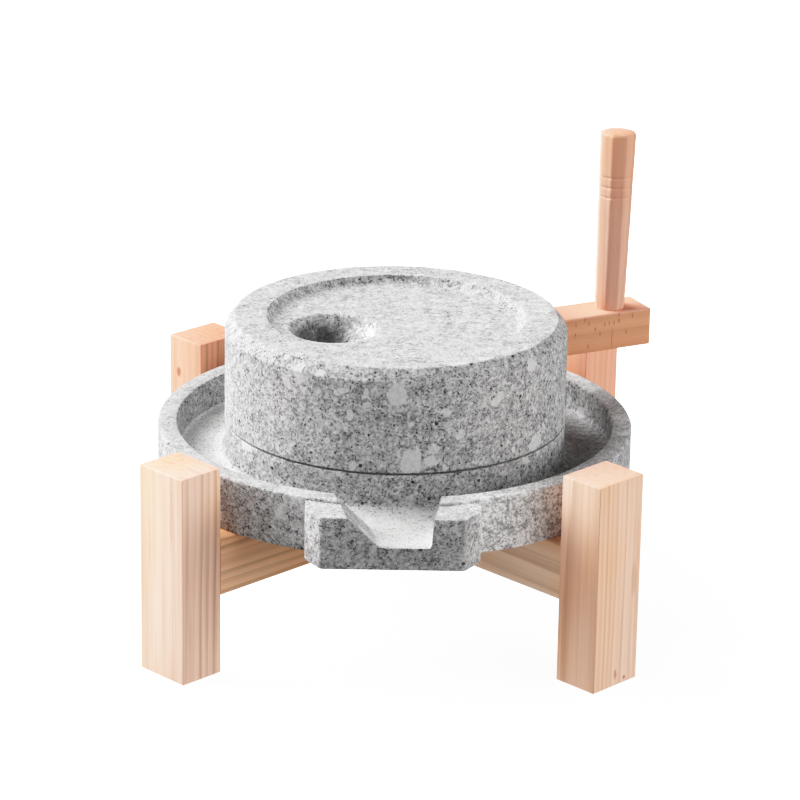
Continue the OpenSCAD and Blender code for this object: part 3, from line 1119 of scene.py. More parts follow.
def settle(
    piece: bpy.types.Object, material: bpy.types.Material, body: Body, nodes: Sequence[str],
    sharp: float = 32.0,
) -> None:
    """Dresses a finished piece and puts it on its body.

    Args:
        piece: The piece.
        material: Its finish.
        body: The body that it rides on.
        nodes: Nodes that it stands for.
        sharp: Angle in degrees above which an edge stays sharp.
    """
    piece.data.materials.clear()
    piece.data.materials.append(material)
    piece.data.shade_smooth()
    piece.data.set_sharp_from_angle(angle=math.radians(sharp))
    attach(piece, body.value)
    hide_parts(*nodes)
    LOG.info("%s stands for %s on %s", piece.name, ", ".join(nodes), body.value)


def dress(node: str, material: bpy.types.Material) -> None:
    """Gives a node of the frame its finish.

    Args:
        node: Name of the node.
        material: Its finish.
    """
    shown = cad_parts[node]
    shown.data.materials.clear()
    shown.data.materials.append(material)
    LOG.info("%s keeps its own shape", node)


def around(angle: float, lean: float = 0.0) -> Matrix:
    """Turn about the mill's axis.

    Args:
        angle: Direction in degrees.
        lean: Lean away from the axis in degrees.

    Returns:
        The turn as a matrix.
    """
    return Matrix.Rotation(math.radians(angle), 4, "Z") @ Matrix.Rotation(math.radians(lean), 4, "Y")


@dataclass(frozen=True)
class Leg:
    """One leg of the stand.

    Attributes:
        corner: Corner that it stands in.
        angle: Its direction from the mill's axis, in degrees.
        shift: Its shift across the rail.
        pith: Place of the pith across the grain.
        pitch: Width of a growth ring.
        strength: How strongly the rings show.
        early: Colour of the pale part of a ring.
        marks: Its knots and stains, with Z from the floor.
    """

    corner: str
    angle: float
    shift: float
    pith: tuple[float, float]
    pitch: float
    strength: float
    early: Colour
    marks: tuple[Mark, ...] = ()


@dataclass(frozen=True)
class RailTimber:
    """A timber that lies along a rail: the rail itself, or a dowel in its end.

    Attributes:
        node: Its node.
        angle: Direction of the rail in degrees.
        pith: Place of the pith across the grain.
        pitch: Width of a growth ring.
        early: Colour of the pale part of a ring.
        late: Colour of the dark part of a ring.
    """

    node: str
    angle: float
    pith: tuple[float, float]
    pitch: float
    early: Colour
    late: Colour


@dataclass
class Stand:
    """Four legs and two crossing rails, with dowels in their joints.

    Attributes:
        leg_inner: Distance from the mill's axis to the inner face of a leg.
        leg_depth: Thickness of a leg along its rail.
        leg_width: Width of a leg across its rail.
        leg_height: Height of a leg.
        rail_level: Level of the middle of the rails.
        edge: Rounding of the legs' edges.
    """

    leg_inner: float = 188.5 * MM
    leg_depth: float = 36 * MM
    leg_width: float = 45 * MM
    leg_height: float = 155 * MM
    rail_level: float = 80 * MM
    edge: float = 0.9 * MM

    PINK = (0.93, 0.645, 0.52)
    PALE = (0.98, 0.74, 0.58)
    RED = (0.90, 0.45, 0.32)
    ORANGE = (0.95, 0.62, 0.42)
    BROWN = (0.46, 0.26, 0.15)
    DOWEL_EARLY = (0.72, 0.50, 0.30)
    DOWEL_LATE = (0.46, 0.28, 0.15)
    KNOT = (0.34, 0.10, 0.06)
    STAIN = (0.36, 0.24, 0.15)
    # Shift of a leg that is flush with one side of its rail
    FLUSH = 4.5 * MM
    # Shift of the pattern of a timber for each degree of its direction
    START_STEP = MM
    # How strongly the rings of the rails and the dowels show
    RAIL_STRENGTH = 0.5
    DOWEL_PITH = (4 * MM, 30 * MM)
    DOWEL_PITCH = 2.5 * MM

    RAILS = (
        RailTimber("rail_lower", 45.0, (60 * MM, 15 * MM), 6.0 * MM, ORANGE, BROWN),
        # The upper rail's wood is paler than the lower rail's, partly painted light where the tray's shade
        # falls on it
        RailTimber("rail_upper", 135.0, (-15 * MM, 70 * MM), 6.0 * MM, PALE, BROWN),
    )

    LEGS = (
        Leg("front_left", 225.0, -FLUSH, (90 * MM, 8 * MM), 6.5 * MM, 0.58, PINK, (
            Mark((18 * MM, -12.5 * MM, 110 * MM), (2 * MM, 0.35 * MM, 48 * MM), STAIN, 0.5),
            Mark((18 * MM, 10.8 * MM, 130 * MM), (2 * MM, 1.6 * MM, 34 * MM), STAIN, 0.35),
        )),
        Leg("front_right", 315.0, 0.0, (6 * MM, -85 * MM), 4.6 * MM, 0.42, PINK, (
            Mark((18 * MM, 0.0, 9 * MM), (2 * MM, 1.6 * MM, 4 * MM), KNOT, 0.5),
            Mark((18 * MM, 9.5 * MM, 4 * MM), (2 * MM, 1.5 * MM, 1.5 * MM), KNOT, 0.7),
            Mark((18 * MM, 16 * MM, 78 * MM), (2 * MM, 3 * MM, 14 * MM), STAIN, 0.3),
        )),
        Leg("back_left", 135.0, 0.0, (10 * MM, 95 * MM), 6.0 * MM, 0.7, RED, (
            Mark((7.6 * MM, 22.5 * MM, 127 * MM), (2.4 * MM, 4 * MM, 4 * MM), KNOT, 0.7),
        )),
        Leg("back_right", 45.0, FLUSH, (-80 * MM, 20 * MM), 6.0 * MM, 0.35, RED),
    )

    def leg_middle(self, leg: Leg) -> Vector:
        """Middle of the foot of a leg."""
        return around(leg.angle) @ Vector((self.leg_inner + self.leg_depth / 2, leg.shift, 0.0))

    def leg_shape(self, leg: Leg) -> Workpiece:
        """Shape of a leg.

        Args:
            leg: The leg.

        Returns:
            Its shape in its place.
        """
        size = (self.leg_depth, self.leg_width, self.leg_height)
        middle = self.leg_middle(leg) + Vector((0.0, 0.0, self.leg_height / 2))
        return Workpiece.block(size).eased(self.edge).placed(Matrix.Translation(middle) @ around(leg.angle))

    def leg_finish(self, leg: Leg, node: str) -> SoftwoodFinish:
        """Finish of a leg.

        Args:
            leg: The leg.
            node: Its node.

        Returns:
            The finish.
        """
        turn = (0.0, 0.0, math.radians(leg.angle))
        return SoftwoodFinish(
            node + "_wood", tuple(self.leg_middle(leg)), turn, leg.pith, leg.pitch,
            leg.early, self.BROWN, leg.strength, leg.angle * self.START_STEP, leg.marks,
        )

    def rail_finish(self, timber: RailTimber) -> SoftwoodFinish:
        """Finish of a timber that lies along a rail.

        Args:
            timber: The timber.

        Returns:
            The finish.
        """
        turn = (0.0, math.pi / 2, math.radians(timber.angle))
        return SoftwoodFinish(
            timber.node + "_wood", (0.0, 0.0, self.rail_level), turn, timber.pith, timber.pitch,
            timber.early, timber.late, self.RAIL_STRENGTH, timber.angle * self.START_STEP,
        )

    def build(self) -> None:
        """Makes the legs and dresses the stand."""
        for leg in self.LEGS:
            node = "leg_" + leg.corner
            piece = self.leg_shape(leg).piece("timber_" + node)
            settle(piece, self.leg_finish(leg, node).material(), Body.STAND, [node])
            for level in ("high", "low"):
                dowel = RailTimber(
                    f"dowel_{leg.corner}_{level}", leg.angle, self.DOWEL_PITH, self.DOWEL_PITCH,
                    self.DOWEL_EARLY, self.DOWEL_LATE,
                )
                dress(dowel.node, self.rail_finish(dowel).material())
        for rail in self.RAILS:
            dress(rail.node, self.rail_finish(rail).material())


@dataclass
class Furrows:
    """Furrows of a grinding face.

    Attributes:
        sectors: Number of sectors.
        rows: Number of furrows in a sector.
        pitch: Distance between the furrows of a sector.
        width: Width of a furrow.
        depth: Depth of a furrow.
        reach: Radius at which the furrows end.
        eye: Radius that the furrows keep clear of in the middle.
    """

    sectors: int = 8
    rows: int = 4
    pitch: float = 17 * MM
    width: float = 4 * MM
    depth: float = 1.6 * MM
    reach: float = 117 * MM
    eye: float = 21.06 * MM

    def tool(self, level: float, up: bool) -> Workpiece:
        """Cutter of all furrows.

        Args:
            level: Level of the grinding face.
            up: Whether the face looks up.

        Returns:
            The cutter.
        """
        tool = Workpiece()
        corners = [
            Corner(-self.width / 2, self.depth), Corner(-self.width / 2, 0.0), Corner(0.0, -self.depth),
            Corner(self.width / 2, 0.0), Corner(self.width / 2, self.depth),
        ]
        lay = Matrix(((0, 0, 1, 0), (1, 0, 0, 0), (0, 1, 0, 0), (0, 0, 0, 1)))
        for row in range(self.rows):
            side = row * self.pitch
            start = side / math.tan(math.tau / self.sectors) + self.eye
            length = math.sqrt(self.reach ** 2 - side ** 2) - start
            for sector in range(self.sectors):
                turn = Matrix.Rotation(sector * math.tau / self.sectors, 4, "Z")
                place = turn @ Matrix.Translation((start, side, 0.0)) @ lay
                tool.added(Workpiece.sawn(corners, length).placed(place))
        flip = Matrix.Diagonal((1.0, 1.0, 1.0 if up else -1.0, 1.0))
        return tool.placed(Matrix.Translation((0.0, 0.0, level)) @ flip).closed()


@dataclass
class LowerStone:
    """Tray with a raised rim, a trough, a spout and the fixed grinding face.

    Attributes:
        base: Level of its underside.
        tray_r: Outer radius of the tray.
        rim_top: Level of the rim.
        rim_inner_r: Inner radius of the rim.
        floor: Level of the floor of the trough.
        cove: Reach of the rounding at the foot of the bed.
        rim_cove: Reach of the rounding at the foot of the rim.
        bed_r: Radius of the grinding face.
        bed_top: Level of the grinding face.
        cup_r: Radius of the bore for the cup.
        cup_base: Level of the foot of that bore.
        spout_lip: Distance from the axis to the lip of the spout.
        spout_root: Distance from the axis to the inner end of the spout's block.
        spout_top: Level of the top of the spout.
        lip_half: Half the width of the spout at its lip.
        root_half: Half the width of the spout at the tray.
        corner_length: Length of the slanted corners of the spout.
        channel_floor: Level of the floor of the channel.
        channel_inner: Distance from the axis to the inner end of the channel.
        bank: Distance from the middle to the top of the sloping bank at the lip.
        bank_slope: Lean of the bank from upright, in degrees.
        bank_spread: Spread of the bank towards the trough, in degrees.
        wall: Distance from the middle to the top of the steep wall at the lip.
        wall_slope: Lean of the wall from upright, in degrees.
        wall_spread: Spread of the wall towards the trough, in degrees.
        foot_ease: Rounding of the edge of its underside.
        rim_ease: Rounding of both edges of the rim.
        bed_ease: Rounding of the edge of the grinding face.
        cup_ease: Rounding of the mouth of the bore.
        spout_ease: Rounding of the upright edges of the spout.
        spout_edge: Rounding of the other edges of the spout.
        spout_lift: Height of the underside of the spout above that of the tray.
        channel_ease: Rounding along both sides of the floor of the channel.
        channel_step: Height of the inner end of the channel above the floor of the trough.
        uneven: Largest unevenness of its surface.
        wave: Length of the waves of that unevenness.
        true_rim: Width of the edge of the grinding face that may be uneven.
        true_foot: Height above its underside from which it may be uneven.
        steps: Steps in a full turn of its surface.
        fine: Longest stretch of its outline without a division.
    """

    base: float = 101.1 * MM
    tray_r: float = 174 * MM
    rim_top: float = 141.1 * MM
    rim_inner_r: float = 159.5 * MM
    floor: float = 118.1 * MM
    cove: float = 8 * MM
    rim_cove: float = 4 * MM
    bed_r: float = 125 * MM
    bed_top: float = 143.6 * MM
    cup_r: float = 13.11 * MM
    cup_base: float = 109.1 * MM
    spout_lip: float = 197 * MM
    spout_root: float = 160.3 * MM
    spout_top: float = 139.1 * MM
    lip_half: float = 50 * MM
    root_half: float = 61 * MM
    corner_length: float = 17 * MM
    channel_floor: float = 117.6 * MM
    channel_inner: float = 142.25 * MM
    bank: float = 31.5 * MM
    bank_slope: float = 46.0
    bank_spread: float = 11.0
    wall: float = 28.5 * MM
    wall_slope: float = 5.0
    wall_spread: float = 7.0
    foot_ease: float = 1.2 * MM
    rim_ease: float = 1.6 * MM
    bed_ease: float = 0.7 * MM
    cup_ease: float = 0.3 * MM
    spout_ease: float = 2 * MM
    spout_edge: float = 0.9 * MM
    spout_lift: float = 0.15 * MM
    channel_ease: float = 2.5 * MM
    channel_step: float = 0.1 * MM
    uneven: float = 0.25 * MM
    wave: float = 11 * MM
    true_rim: float = 2 * MM
    true_foot: float = 1 * MM
    steps: int = 240
    fine: float = 7 * MM

    # Shift of its granite's pattern, and level under which flour clings to it, partly painted light in the
    # trough's shade
    GRANITE_START = (0.31, 0.17, 0.05)
    FLOUR_AND_LIGHT_LEVEL = 128 * MM

    PATCHES = (
        # Paler stone and painted light on the front right of the tray and its rim
        Patch((92 * MM, -150 * MM, 124 * MM), (60 * MM, 42 * MM, 40 * MM), 0.92, 0.78),
        # Painted shade on the front of the spout
        Patch((0.0, -200 * MM, 117 * MM), (80 * MM, 7 * MM, 32 * MM), 0.20, 0.35),
    )

    def may_be_uneven(self, place: Vector) -> bool:
        """Whether a place is clear of the grinding face and of the underside."""
        return place.xy.length > self.bed_r - self.true_rim and place.z > self.base + self.true_foot

    def tray(self) -> Workpiece:
        """Round part of the stone.

        Returns:
            Its shape.
        """
        corners = [
            Corner(0.0, self.base),
            Corner(self.tray_r, self.base, self.foot_ease),
            Corner(self.tray_r, self.rim_top, self.rim_ease),
            Corner(self.rim_inner_r, self.rim_top, self.rim_ease),
            Corner(self.rim_inner_r, self.floor, self.rim_cove),
            Corner(self.bed_r, self.floor, self.cove),
            Corner(self.bed_r, self.bed_top, self.bed_ease),
            Corner(self.cup_r, self.bed_top, self.cup_ease),
            Corner(self.cup_r, self.cup_base),
            Corner(0.0, self.cup_base),
        ]
        turned = Workpiece.turned(corners, self.steps, self.fine)
        return turned.worn(self.uneven, self.wave, self.may_be_uneven)

    def outside_tray(self, edge: bmesh.types.BMEdge) -> bool:
        """Whether an edge of the spout's block stands clear of the end that is sunk in the tray."""
        return all(abs(vertex.co.y) > self.spout_root + CLEAR for vertex in edge.verts)

    def spout(self) -> Workpiece:
        """Block of the spout.

        Returns:
            Its shape in its place.
        """
        side = self.spout_lip - self.corner_length
        corners = [
            Corner(-self.root_half, -self.spout_root),
            Corner(-self.root_half, -side, self.spout_ease),
            Corner(-self.lip_half, -self.spout_lip, self.spout_ease),
            Corner(self.lip_half, -self.spout_lip, self.spout_ease),
            Corner(self.root_half, -side, self.spout_ease),
            Corner(self.root_half, -self.spout_root),
        ]
        low = self.base + self.spout_lift
        block = Workpiece.sawn(corners, self.spout_top - low).eased(self.spout_edge, self.outside_tray)
        return block.placed(Matrix.Translation((0.0, 0.0, low)))

    def along_channel_floor(self, edge: bmesh.types.BMEdge) -> bool:
        """Whether an edge of the channel's cutter runs along a side of its floor.

        Args:
            edge: The edge.

        Returns:
            True for the two long edges of the floor.
        """
        first, second = edge.verts
        low = max(first.co.z, second.co.z) < self.spout_top
        return low and abs(first.co.y - second.co.y) > self.corner_length

    def channel(self) -> Workpiece:
        """Cutter of the channel through the spout and the rim.

        Returns:
            Its shape in its place.
        """
        # A block of any size, whose corners are then set one by one
        tool = Workpiece.block((2.0, 2.0, 2.0))
        near, far = self.spout_lip + OVERSHOOT, self.channel_inner
        top = self.rim_top + OVERSHOOT
        for vertex in tool.mesh.verts:
            outside = vertex.co.y < 0
            run = near if outside else far
            foot = self.channel_floor if outside else self.floor + self.channel_step
            level = foot if vertex.co.z < 0 else top
            left = vertex.co.x < 0
            edge, slope, spread = self.wall, self.wall_slope, self.wall_spread
            if left:
                edge, slope, spread = self.bank, self.bank_slope, self.bank_spread
            reach = edge + (self.spout_lip - run) * math.tan(math.radians(spread))
            reach += (level - self.spout_top) * math.tan(math.radians(slope)) / math.cos(math.radians(spread))
            vertex.co = (-reach if left else reach, -run, level)
        return tool.eased(self.channel_ease, self.along_channel_floor)

    def build(self, finish: GraniteFinish) -> None:
        """Makes the stone.

        Args:
            finish: Its granite.
        """
        stone = self.tray().piece("granite_lower_stone")
        carve(stone, self.spout(), Cut.JOIN)
        carve(stone, self.channel())
        carve(stone, Furrows().tool(self.bed_top, True))
        settle(stone, finish.material(), Body.BED, ["lower_stone"])


@dataclass
class RunnerStone:
    """Turning stone with its dish, its feed eye and the mortise for the arm.

    Attributes:
        base: Level of its grinding face.
        top: Level of its top.
        outer_r: Its radius.
        bevel_width: Width of the bevel round its top.
        bevel_height: Height of that bevel.
        dish_r: Radius of the dish at the top.
        dish_foot: How far the foot of the wall of the dish stands in from its top.
        dish_cove: Reach of the rounding at that foot.
        dish_floor: Level of the floor of the dish.
        eye: Place of the feed eye.
        mouth_r: Radius of the mouth of the eye.
        throat_r: Radius of the throat of the eye.
        throat_top: Level at which the funnel meets the throat.
        swallow_r: Radius of the hollow in the grinding face.
        swallow_depth: Depth of that hollow.
        cup_r: Radius of the bore for the cup.
        cup_end: Level of the closed end of that bore.
        dish_ease: Rounding of the edge of the dish.
        top_ease: Rounding of the upper edge of the bevel.
        side_ease: Rounding of the lower edge of the bevel.
        foot_ease: Rounding of the edge of its grinding face.
        throat_ease: Rounding where the funnel meets the throat.
        mouth_ease: Rounding of the mouth of the eye.
        mouth_spread: How far the cutter of the eye reaches beyond that mouth.
        mouth_rise: Height of the cutter above the floor of the dish at that reach.
        uneven: Largest unevenness of its surface.
        wave: Length of the waves of that unevenness.
        steps: Steps in a full turn of its surface.
        fine: Longest stretch of its outline without a division.
        eye_steps: Steps in a full turn of the eye.
        eye_fine: Longest stretch of the eye's outline without a division.
    """

    base: float = 144.4 * MM
    top: float = 221.4 * MM
    outer_r: float = 125 * MM
    bevel_width: float = 7 * MM
    bevel_height: float = 8.5 * MM
    dish_r: float = 94.5 * MM
    dish_foot: float = 2.5 * MM
    dish_cove: float = 5.5 * MM
    dish_floor: float = 215.4 * MM
    eye: tuple[float, float] = (-45.07 * MM, -14.99 * MM)
    mouth_r: float = 32 * MM
    throat_r: float = 20 * MM
    throat_top: float = 187.4 * MM
    swallow_r: float = 75 * MM
    swallow_depth: float = 3 * MM
    cup_r: float = 13.11 * MM
    cup_end: float = 180.9 * MM
    dish_ease: float = 0.5 * MM
    top_ease: float = 0.9 * MM
    side_ease: float = 0.6 * MM
    foot_ease: float = 1.1 * MM
    throat_ease: float = 6 * MM
    mouth_ease: float = 3 * MM
    mouth_spread: float = 5 * MM
    mouth_rise: float = 0.5 * MM
    uneven: float = 0.25 * MM
    wave: float = 13 * MM
    steps: int = 216
    fine: float = 6 * MM
    eye_steps: int = 96
    eye_fine: float = 5 * MM

    # Shift of its granite's pattern
    GRANITE_START = (0.0, 0.0, 0.0)

    CRYSTALS = (
        Crystal(270.7, 204.5 * MM, 13 * MM, 17 * MM, 0.0),
        Crystal(275.5, 154.5 * MM, 14 * MM, 19 * MM, -8.0),
        Crystal(281.8, 154.0 * MM, 8 * MM, 8 * MM, 25.0),
        Crystal(323.6, 150.5 * MM, 15 * MM, 10 * MM, 15.0),
        Crystal(305.2, 194.0 * MM, 13 * MM, 7 * MM, 35.0),
        Crystal(321.1, 211.0 * MM, 11 * MM, 9 * MM, -20.0),
        Crystal(286.4, 190.0 * MM, 6 * MM, 7 * MM, 40.0),
        Crystal(255.3, 187.0 * MM, 5 * MM, 9 * MM, 0.0),
        Crystal(260.5, 204.5 * MM, 4 * MM, 8 * MM, 0.0),
        Crystal(253.0, 205.0 * MM, 7 * MM, 5 * MM, 0.0),
        Crystal(232.4, 202.5 * MM, 7 * MM, 9 * MM, 20.0),
        Crystal(245.0, 216.0 * MM, 8 * MM, 9 * MM, 10.0),
    )

    PATCHES = (
        # Painted shade on the back left wall of the feed eye
        Patch((-63 * MM, 5 * MM, 200 * MM), (27 * MM, 22 * MM, 12 * MM), 0.07, 0.75),
        # Painted light on the right wall of the feed eye
        Patch((-19 * MM, -3 * MM, 201 * MM), (24 * MM, 32 * MM, 12 * MM), 0.95, 0.85),
    )

    def may_be_uneven(self, place: Vector) -> bool:
        """Whether a place is above the bore for the cup, or outside the hollow in the grinding face."""
        return place.z > self.cup_end or place.xy.length > self.swallow_r

    def disc(self) -> Workpiece:
        """Round part of the stone.

        Returns:
            Its shape.
        """
        corners = [
            Corner(0.0, self.dish_floor),
            Corner(self.dish_r - self.dish_foot, self.dish_floor, self.dish_cove),
            Corner(self.dish_r, self.top, self.dish_ease),
            Corner(self.outer_r - self.bevel_width, self.top, self.top_ease),
            Corner(self.outer_r, self.top - self.bevel_height, self.side_ease),
            Corner(self.outer_r, self.base, self.foot_ease),
            Corner(self.swallow_r, self.base),
            Corner(self.cup_r, self.base + self.swallow_depth),
            Corner(self.cup_r, self.cup_end),
            Corner(0.0, self.cup_end),
        ]
        turned = Workpiece.turned(corners, self.steps, self.fine)
        return turned.worn(self.uneven, self.wave, self.may_be_uneven)

    def eye_tool(self) -> Workpiece:
        """Cutter of the feed eye, with a rounded mouth.

        Returns:
            Its shape in its place.
        """
        low, high = self.base - OVERSHOOT, self.top + OVERSHOOT
        rim_r = self.mouth_r + self.mouth_spread
        corners = [
            Corner(0.0, low),
            Corner(self.throat_r, low),
            Corner(self.throat_r, self.throat_top, self.throat_ease),
            Corner(self.mouth_r, self.dish_floor, self.mouth_ease),
            Corner(rim_r, self.dish_floor + self.mouth_rise),
            Corner(rim_r, high),
            Corner(0.0, high),
        ]
        turned = Workpiece.turned(corners, self.eye_steps, self.eye_fine)
        return turned.placed(Matrix.Translation((*self.eye, 0.0)))

    def build(self, finish: GraniteFinish, crank: Crank) -> None:
        """Makes the stone.

        Args:
            finish: Its granite.
            crank: The crank that its mortise takes.
        """
        stone = self.disc().piece("granite_runner_stone")
        carve(stone, self.eye_tool())
        carve(stone, crank.mortise())
        carve(stone, Furrows().tool(self.base, False))
        settle(stone, finish.material(), Body.RUNNER, ["runner_stone"])


@dataclass
class Crank:
    """Arm in the runner, its wedge and the upright handle.

    Attributes:
        angle: Direction of the crank in degrees.
        inner: Distance from the mill's axis to the inner end of the arm.
        outer: Distance from the mill's axis to the outer end of the arm.
        width: Width of the arm.
        bottom: Level of its underside.
        top: Level of its top.
        edge: Rounding of its edges.
        mortise_floor: Level of the floor of the mortise at the face of the runner.
        mortise_end: Level of the floor of the mortise at its inner end.
        mortise_outer: Distance from the axis at which the first of these levels holds.
        gap: Clearance on each side of the arm in the mortise.
        handle_r: Distance from the mill's axis to the handle.
        lean: Lean of the handle in degrees.
        length: Length of the handle above the arm.
        socket: Depth of its socket.
        foot_r: Radius of its foot.
        head_r: Radius near its top.
        crown: Height of its rounded end.
        groove_start: Distance from its end to the first ring groove.
        groove_pitch: Distance between the ring grooves.
        groove_count: Number of ring grooves.
        groove_width: Width of a ring groove.
        groove_depth: Depth of a ring groove.
        groove_side: Direction in which the ring grooves are deepest, from the arm's own, in degrees.
        groove_left: Share of their depth that is left on the worn side.
        facets: Number of facets left by the knife.
        facet_edge: How crisp the edges between the facets are, from 0 to 1.
        swell: Share by which the facets stand out from the turned shape.
        end_gap: Clearance at the inner end of the arm in the mortise.
        bore_gap: Clearance round the handle in its socket.
        bore_steps: Steps in a full turn of that socket.
        foot_ease: Rounding of the handle's foot.
        lip_ease: Rounding of both lips of a ring groove.
        groove_ease: Rounding of the floor of a ring groove.
        groove_focus: How closely the depth of the ring grooves gathers on their deepest side.
        groove_slack: Slack in telling a corner of a ring groove from one of the crown.
        dome: Rise of the middle of its end above the corner of the crown.
        knife_start: Level above the arm from which it is carved.
        uneven: Largest unevenness of its surface.
        wave: Length of the waves of that unevenness.
        steps: Steps in a full turn of its surface.
        fine: Longest stretch of its outline without a division.
        sharp: Angle in degrees above which an edge of it stays sharp.
    """

    angle: float = 26.3
    inner: float = 80 * MM
    outer: float = 205 * MM
    width: float = 32 * MM
    bottom: float = 176.1 * MM
    top: float = 204.6 * MM
    edge: float = 1.1 * MM
    mortise_floor: float = 170.9 * MM
    mortise_end: float = 174.2 * MM
    mortise_outer: float = 125 * MM
    gap: float = 0.2 * MM
    handle_r: float = 178 * MM
    lean: float = 1.0
    length: float = 136.5 * MM
    socket: float = 20 * MM
    foot_r: float = 10.7 * MM
    head_r: float = 12.7 * MM
    crown: float = 2.8 * MM
    groove_start: float = 34 * MM
    groove_pitch: float = 7.6 * MM
    groove_count: int = 3
    groove_width: float = 2.6 * MM
    groove_depth: float = 0.9 * MM
    groove_side: float = 236.0
    groove_left: float = 0.2
    facets: int = 8
    facet_edge: float = 0.8
    swell: float = 0.015
    end_gap: float = 0.5 * MM
    bore_gap: float = 0.08 * MM
    bore_steps: int = 64
    foot_ease: float = 1 * MM
    lip_ease: float = 0.3 * MM
    groove_ease: float = 0.4 * MM
    groove_focus: int = 4
    groove_slack: float = 0.1 * MM
    dome: float = 1 * MM
    knife_start: float = 1 * MM
    uneven: float = 0.25 * MM
    wave: float = 14 * MM
    steps: int = 72
    fine: float = 5 * MM
    sharp: float = 45.0

    ARM = (0.72, 0.375, 0.235)
    HANDLE = (0.76, 0.455, 0.35)
    LATE = (0.44, 0.20, 0.105)
    CHECK = (0.30, 0.11, 0.05)
    # Colour of the painted highlight on the top of the arm
    TOP_HIGHLIGHT = (0.80, 0.43, 0.33)

    # Small drying checks in the front of the arm: run along it and drop, from its middle
    CHECKS = (
        (-1.4 * MM, -8.8 * MM), (-1.7 * MM, -1.0 * MM), (6.1 * MM, -12.0 * MM), (9.5 * MM, -9.1 * MM),
        (9.5 * MM, 8.9 * MM), (15.0 * MM, -3.6 * MM), (19.0 * MM, 0.5 * MM), (23.1 * MM, -6.2 * MM),
        (26.6 * MM, -6.9 * MM), (30.7 * MM, -6.4 * MM), (34.8 * MM, -7.6 * MM), (34.8 * MM, -12.6 * MM),
        (41.6 * MM, 1.7 * MM), (46.4 * MM, -10.3 * MM),
    )
    CHECK_REACH = (1.9 * MM, 2 * MM, 0.5 * MM)
    CHECK_STRENGTH = 0.7

    # Upright crack in the front of the arm: drop from its middle, and distance inwards from the handle
    CRACK_DROP = 5 * MM
    CRACK_INSET = 6 * MM
    CRACK_REACH = (10 * MM, 3 * MM, 0.3 * MM)
    CRACK_STRENGTH = 0.75

    # Painted highlight along the top of the arm
    TOP_HIGHLIGHT_REACH = (1.6 * MM, 60 * MM, 200 * MM)
    TOP_HIGHLIGHT_STRENGTH = 0.7

    def handle_place(self) -> Matrix:
        """Place of the handle, with the top of the arm at Z = 0."""
        foot = around(self.angle) @ Matrix.Translation((self.handle_r, 0.0, self.top))
        return foot @ Matrix.Rotation(math.radians(self.lean), 4, "Y")

    def arm_middle(self) -> Vector:
        """Middle of the arm, before it is turned to its direction."""
        return Vector(((self.inner + self.outer) / 2, 0.0, (self.top + self.bottom) / 2))

    def mortise(self) -> Workpiece:
        """Cutter of the mortise in the runner.

        Returns:
            Its shape in its place.
        """
        end = self.inner - self.end_gap
        far = self.mortise_outer + OVERSHOOT
        fall = (self.mortise_floor - self.mortise_end) / (self.mortise_outer - end)
        corners = [
            Corner(end, self.top),
            Corner(end, self.mortise_end),
            Corner(far, self.mortise_end + fall * (far - end)),
            Corner(far, self.top),
        ]
        width = self.width + 2 * self.gap
        upright = Matrix.Rotation(math.pi / 2, 4, "X")
        return Workpiece.sawn(corners, width).placed(
            around(self.angle) @ Matrix.Translation((0.0, width / 2, 0.0)) @ upright,
        ).closed()

    def arm(self) -> bpy.types.Object:
        """Arm with the socket of the handle.

        Returns:
            The arm as a piece.
        """
        size = (self.outer - self.inner, self.width, self.top - self.bottom)
        place = around(self.angle) @ Matrix.Translation(self.arm_middle())
        arm = Workpiece.block(size).eased(self.edge).placed(place).piece("timber_crank_arm")
        bore = self.foot_r + self.bore_gap
        corners = [
            Corner(0.0, -self.socket),
            Corner(bore, -self.socket),
            Corner(bore, self.socket),
            Corner(0.0, self.socket),
        ]
        carve(arm, Workpiece.turned(corners, self.bore_steps, UNDIVIDED).placed(self.handle_place()))
        return arm

    def radius(self, level: float) -> float:
        """Radius of the handle at a level above the arm."""
        return self.foot_r + (self.head_r - self.foot_r) * level / self.length

    def carved(self, place: Vector) -> bool:
        """Whether a place of the handle, in the handle's own frame, is above the arm."""
        return place.z > self.knife_start

    def handle(self) -> bpy.types.Object:
        """Handle with its ring grooves and its foot.

        Returns:
            The handle as a piece.
        """
        corners = [
            Corner(0.0, -self.socket),
            Corner(self.foot_r, -self.socket, self.foot_ease),
            Corner(self.foot_r, 0.0),
        ]
        half = self.groove_width / 2
        for index in reversed(range(self.groove_count)):
            level = self.length - self.groove_start - index * self.groove_pitch
            corners += [
                Corner(self.radius(level - half), level - half, self.lip_ease),
                Corner(self.radius(level) - self.groove_depth, level, self.groove_ease),
                Corner(self.radius(level + half), level + half, self.lip_ease),
            ]
        corners += [
            Corner(self.radius(self.length), self.length - self.dome, self.crown),
            Corner(0.0, self.length),
        ]
        work = Workpiece.turned(corners, self.steps, self.fine)
        for vertex in work.mesh.verts:
            if self.carved(vertex.co):
                self.whittle(vertex)
        work.worn(self.uneven, self.wave, self.carved)
        return work.placed(self.handle_place()).piece("carved_crank_handle")

    def whittle(self, vertex: bmesh.types.BMVert) -> None:
        """Cuts the facets of the handle and wears its ring grooves.

        Args:
            vertex: A corner of the turned handle, in the handle's own frame.
        """
        angle = math.atan2(vertex.co.y, vertex.co.x)
        step = math.tau / self.facets
        turn = angle % step - step / 2
        scale = 1.0 + self.swell + self.facet_edge * (1.0 / math.cos(turn) - 1.0)
        deep = self.radius(vertex.co.z) - vertex.co.xy.length
        if 0.0 < deep < self.groove_depth + self.groove_slack:
            front = max(math.cos(angle - math.radians(self.groove_side)), 0.0) ** self.groove_focus
            scale *= 1.0 + deep * (1.0 - self.groove_left) * (1.0 - front) / vertex.co.xy.length
        vertex.co.x *= scale
        vertex.co.y *= scale

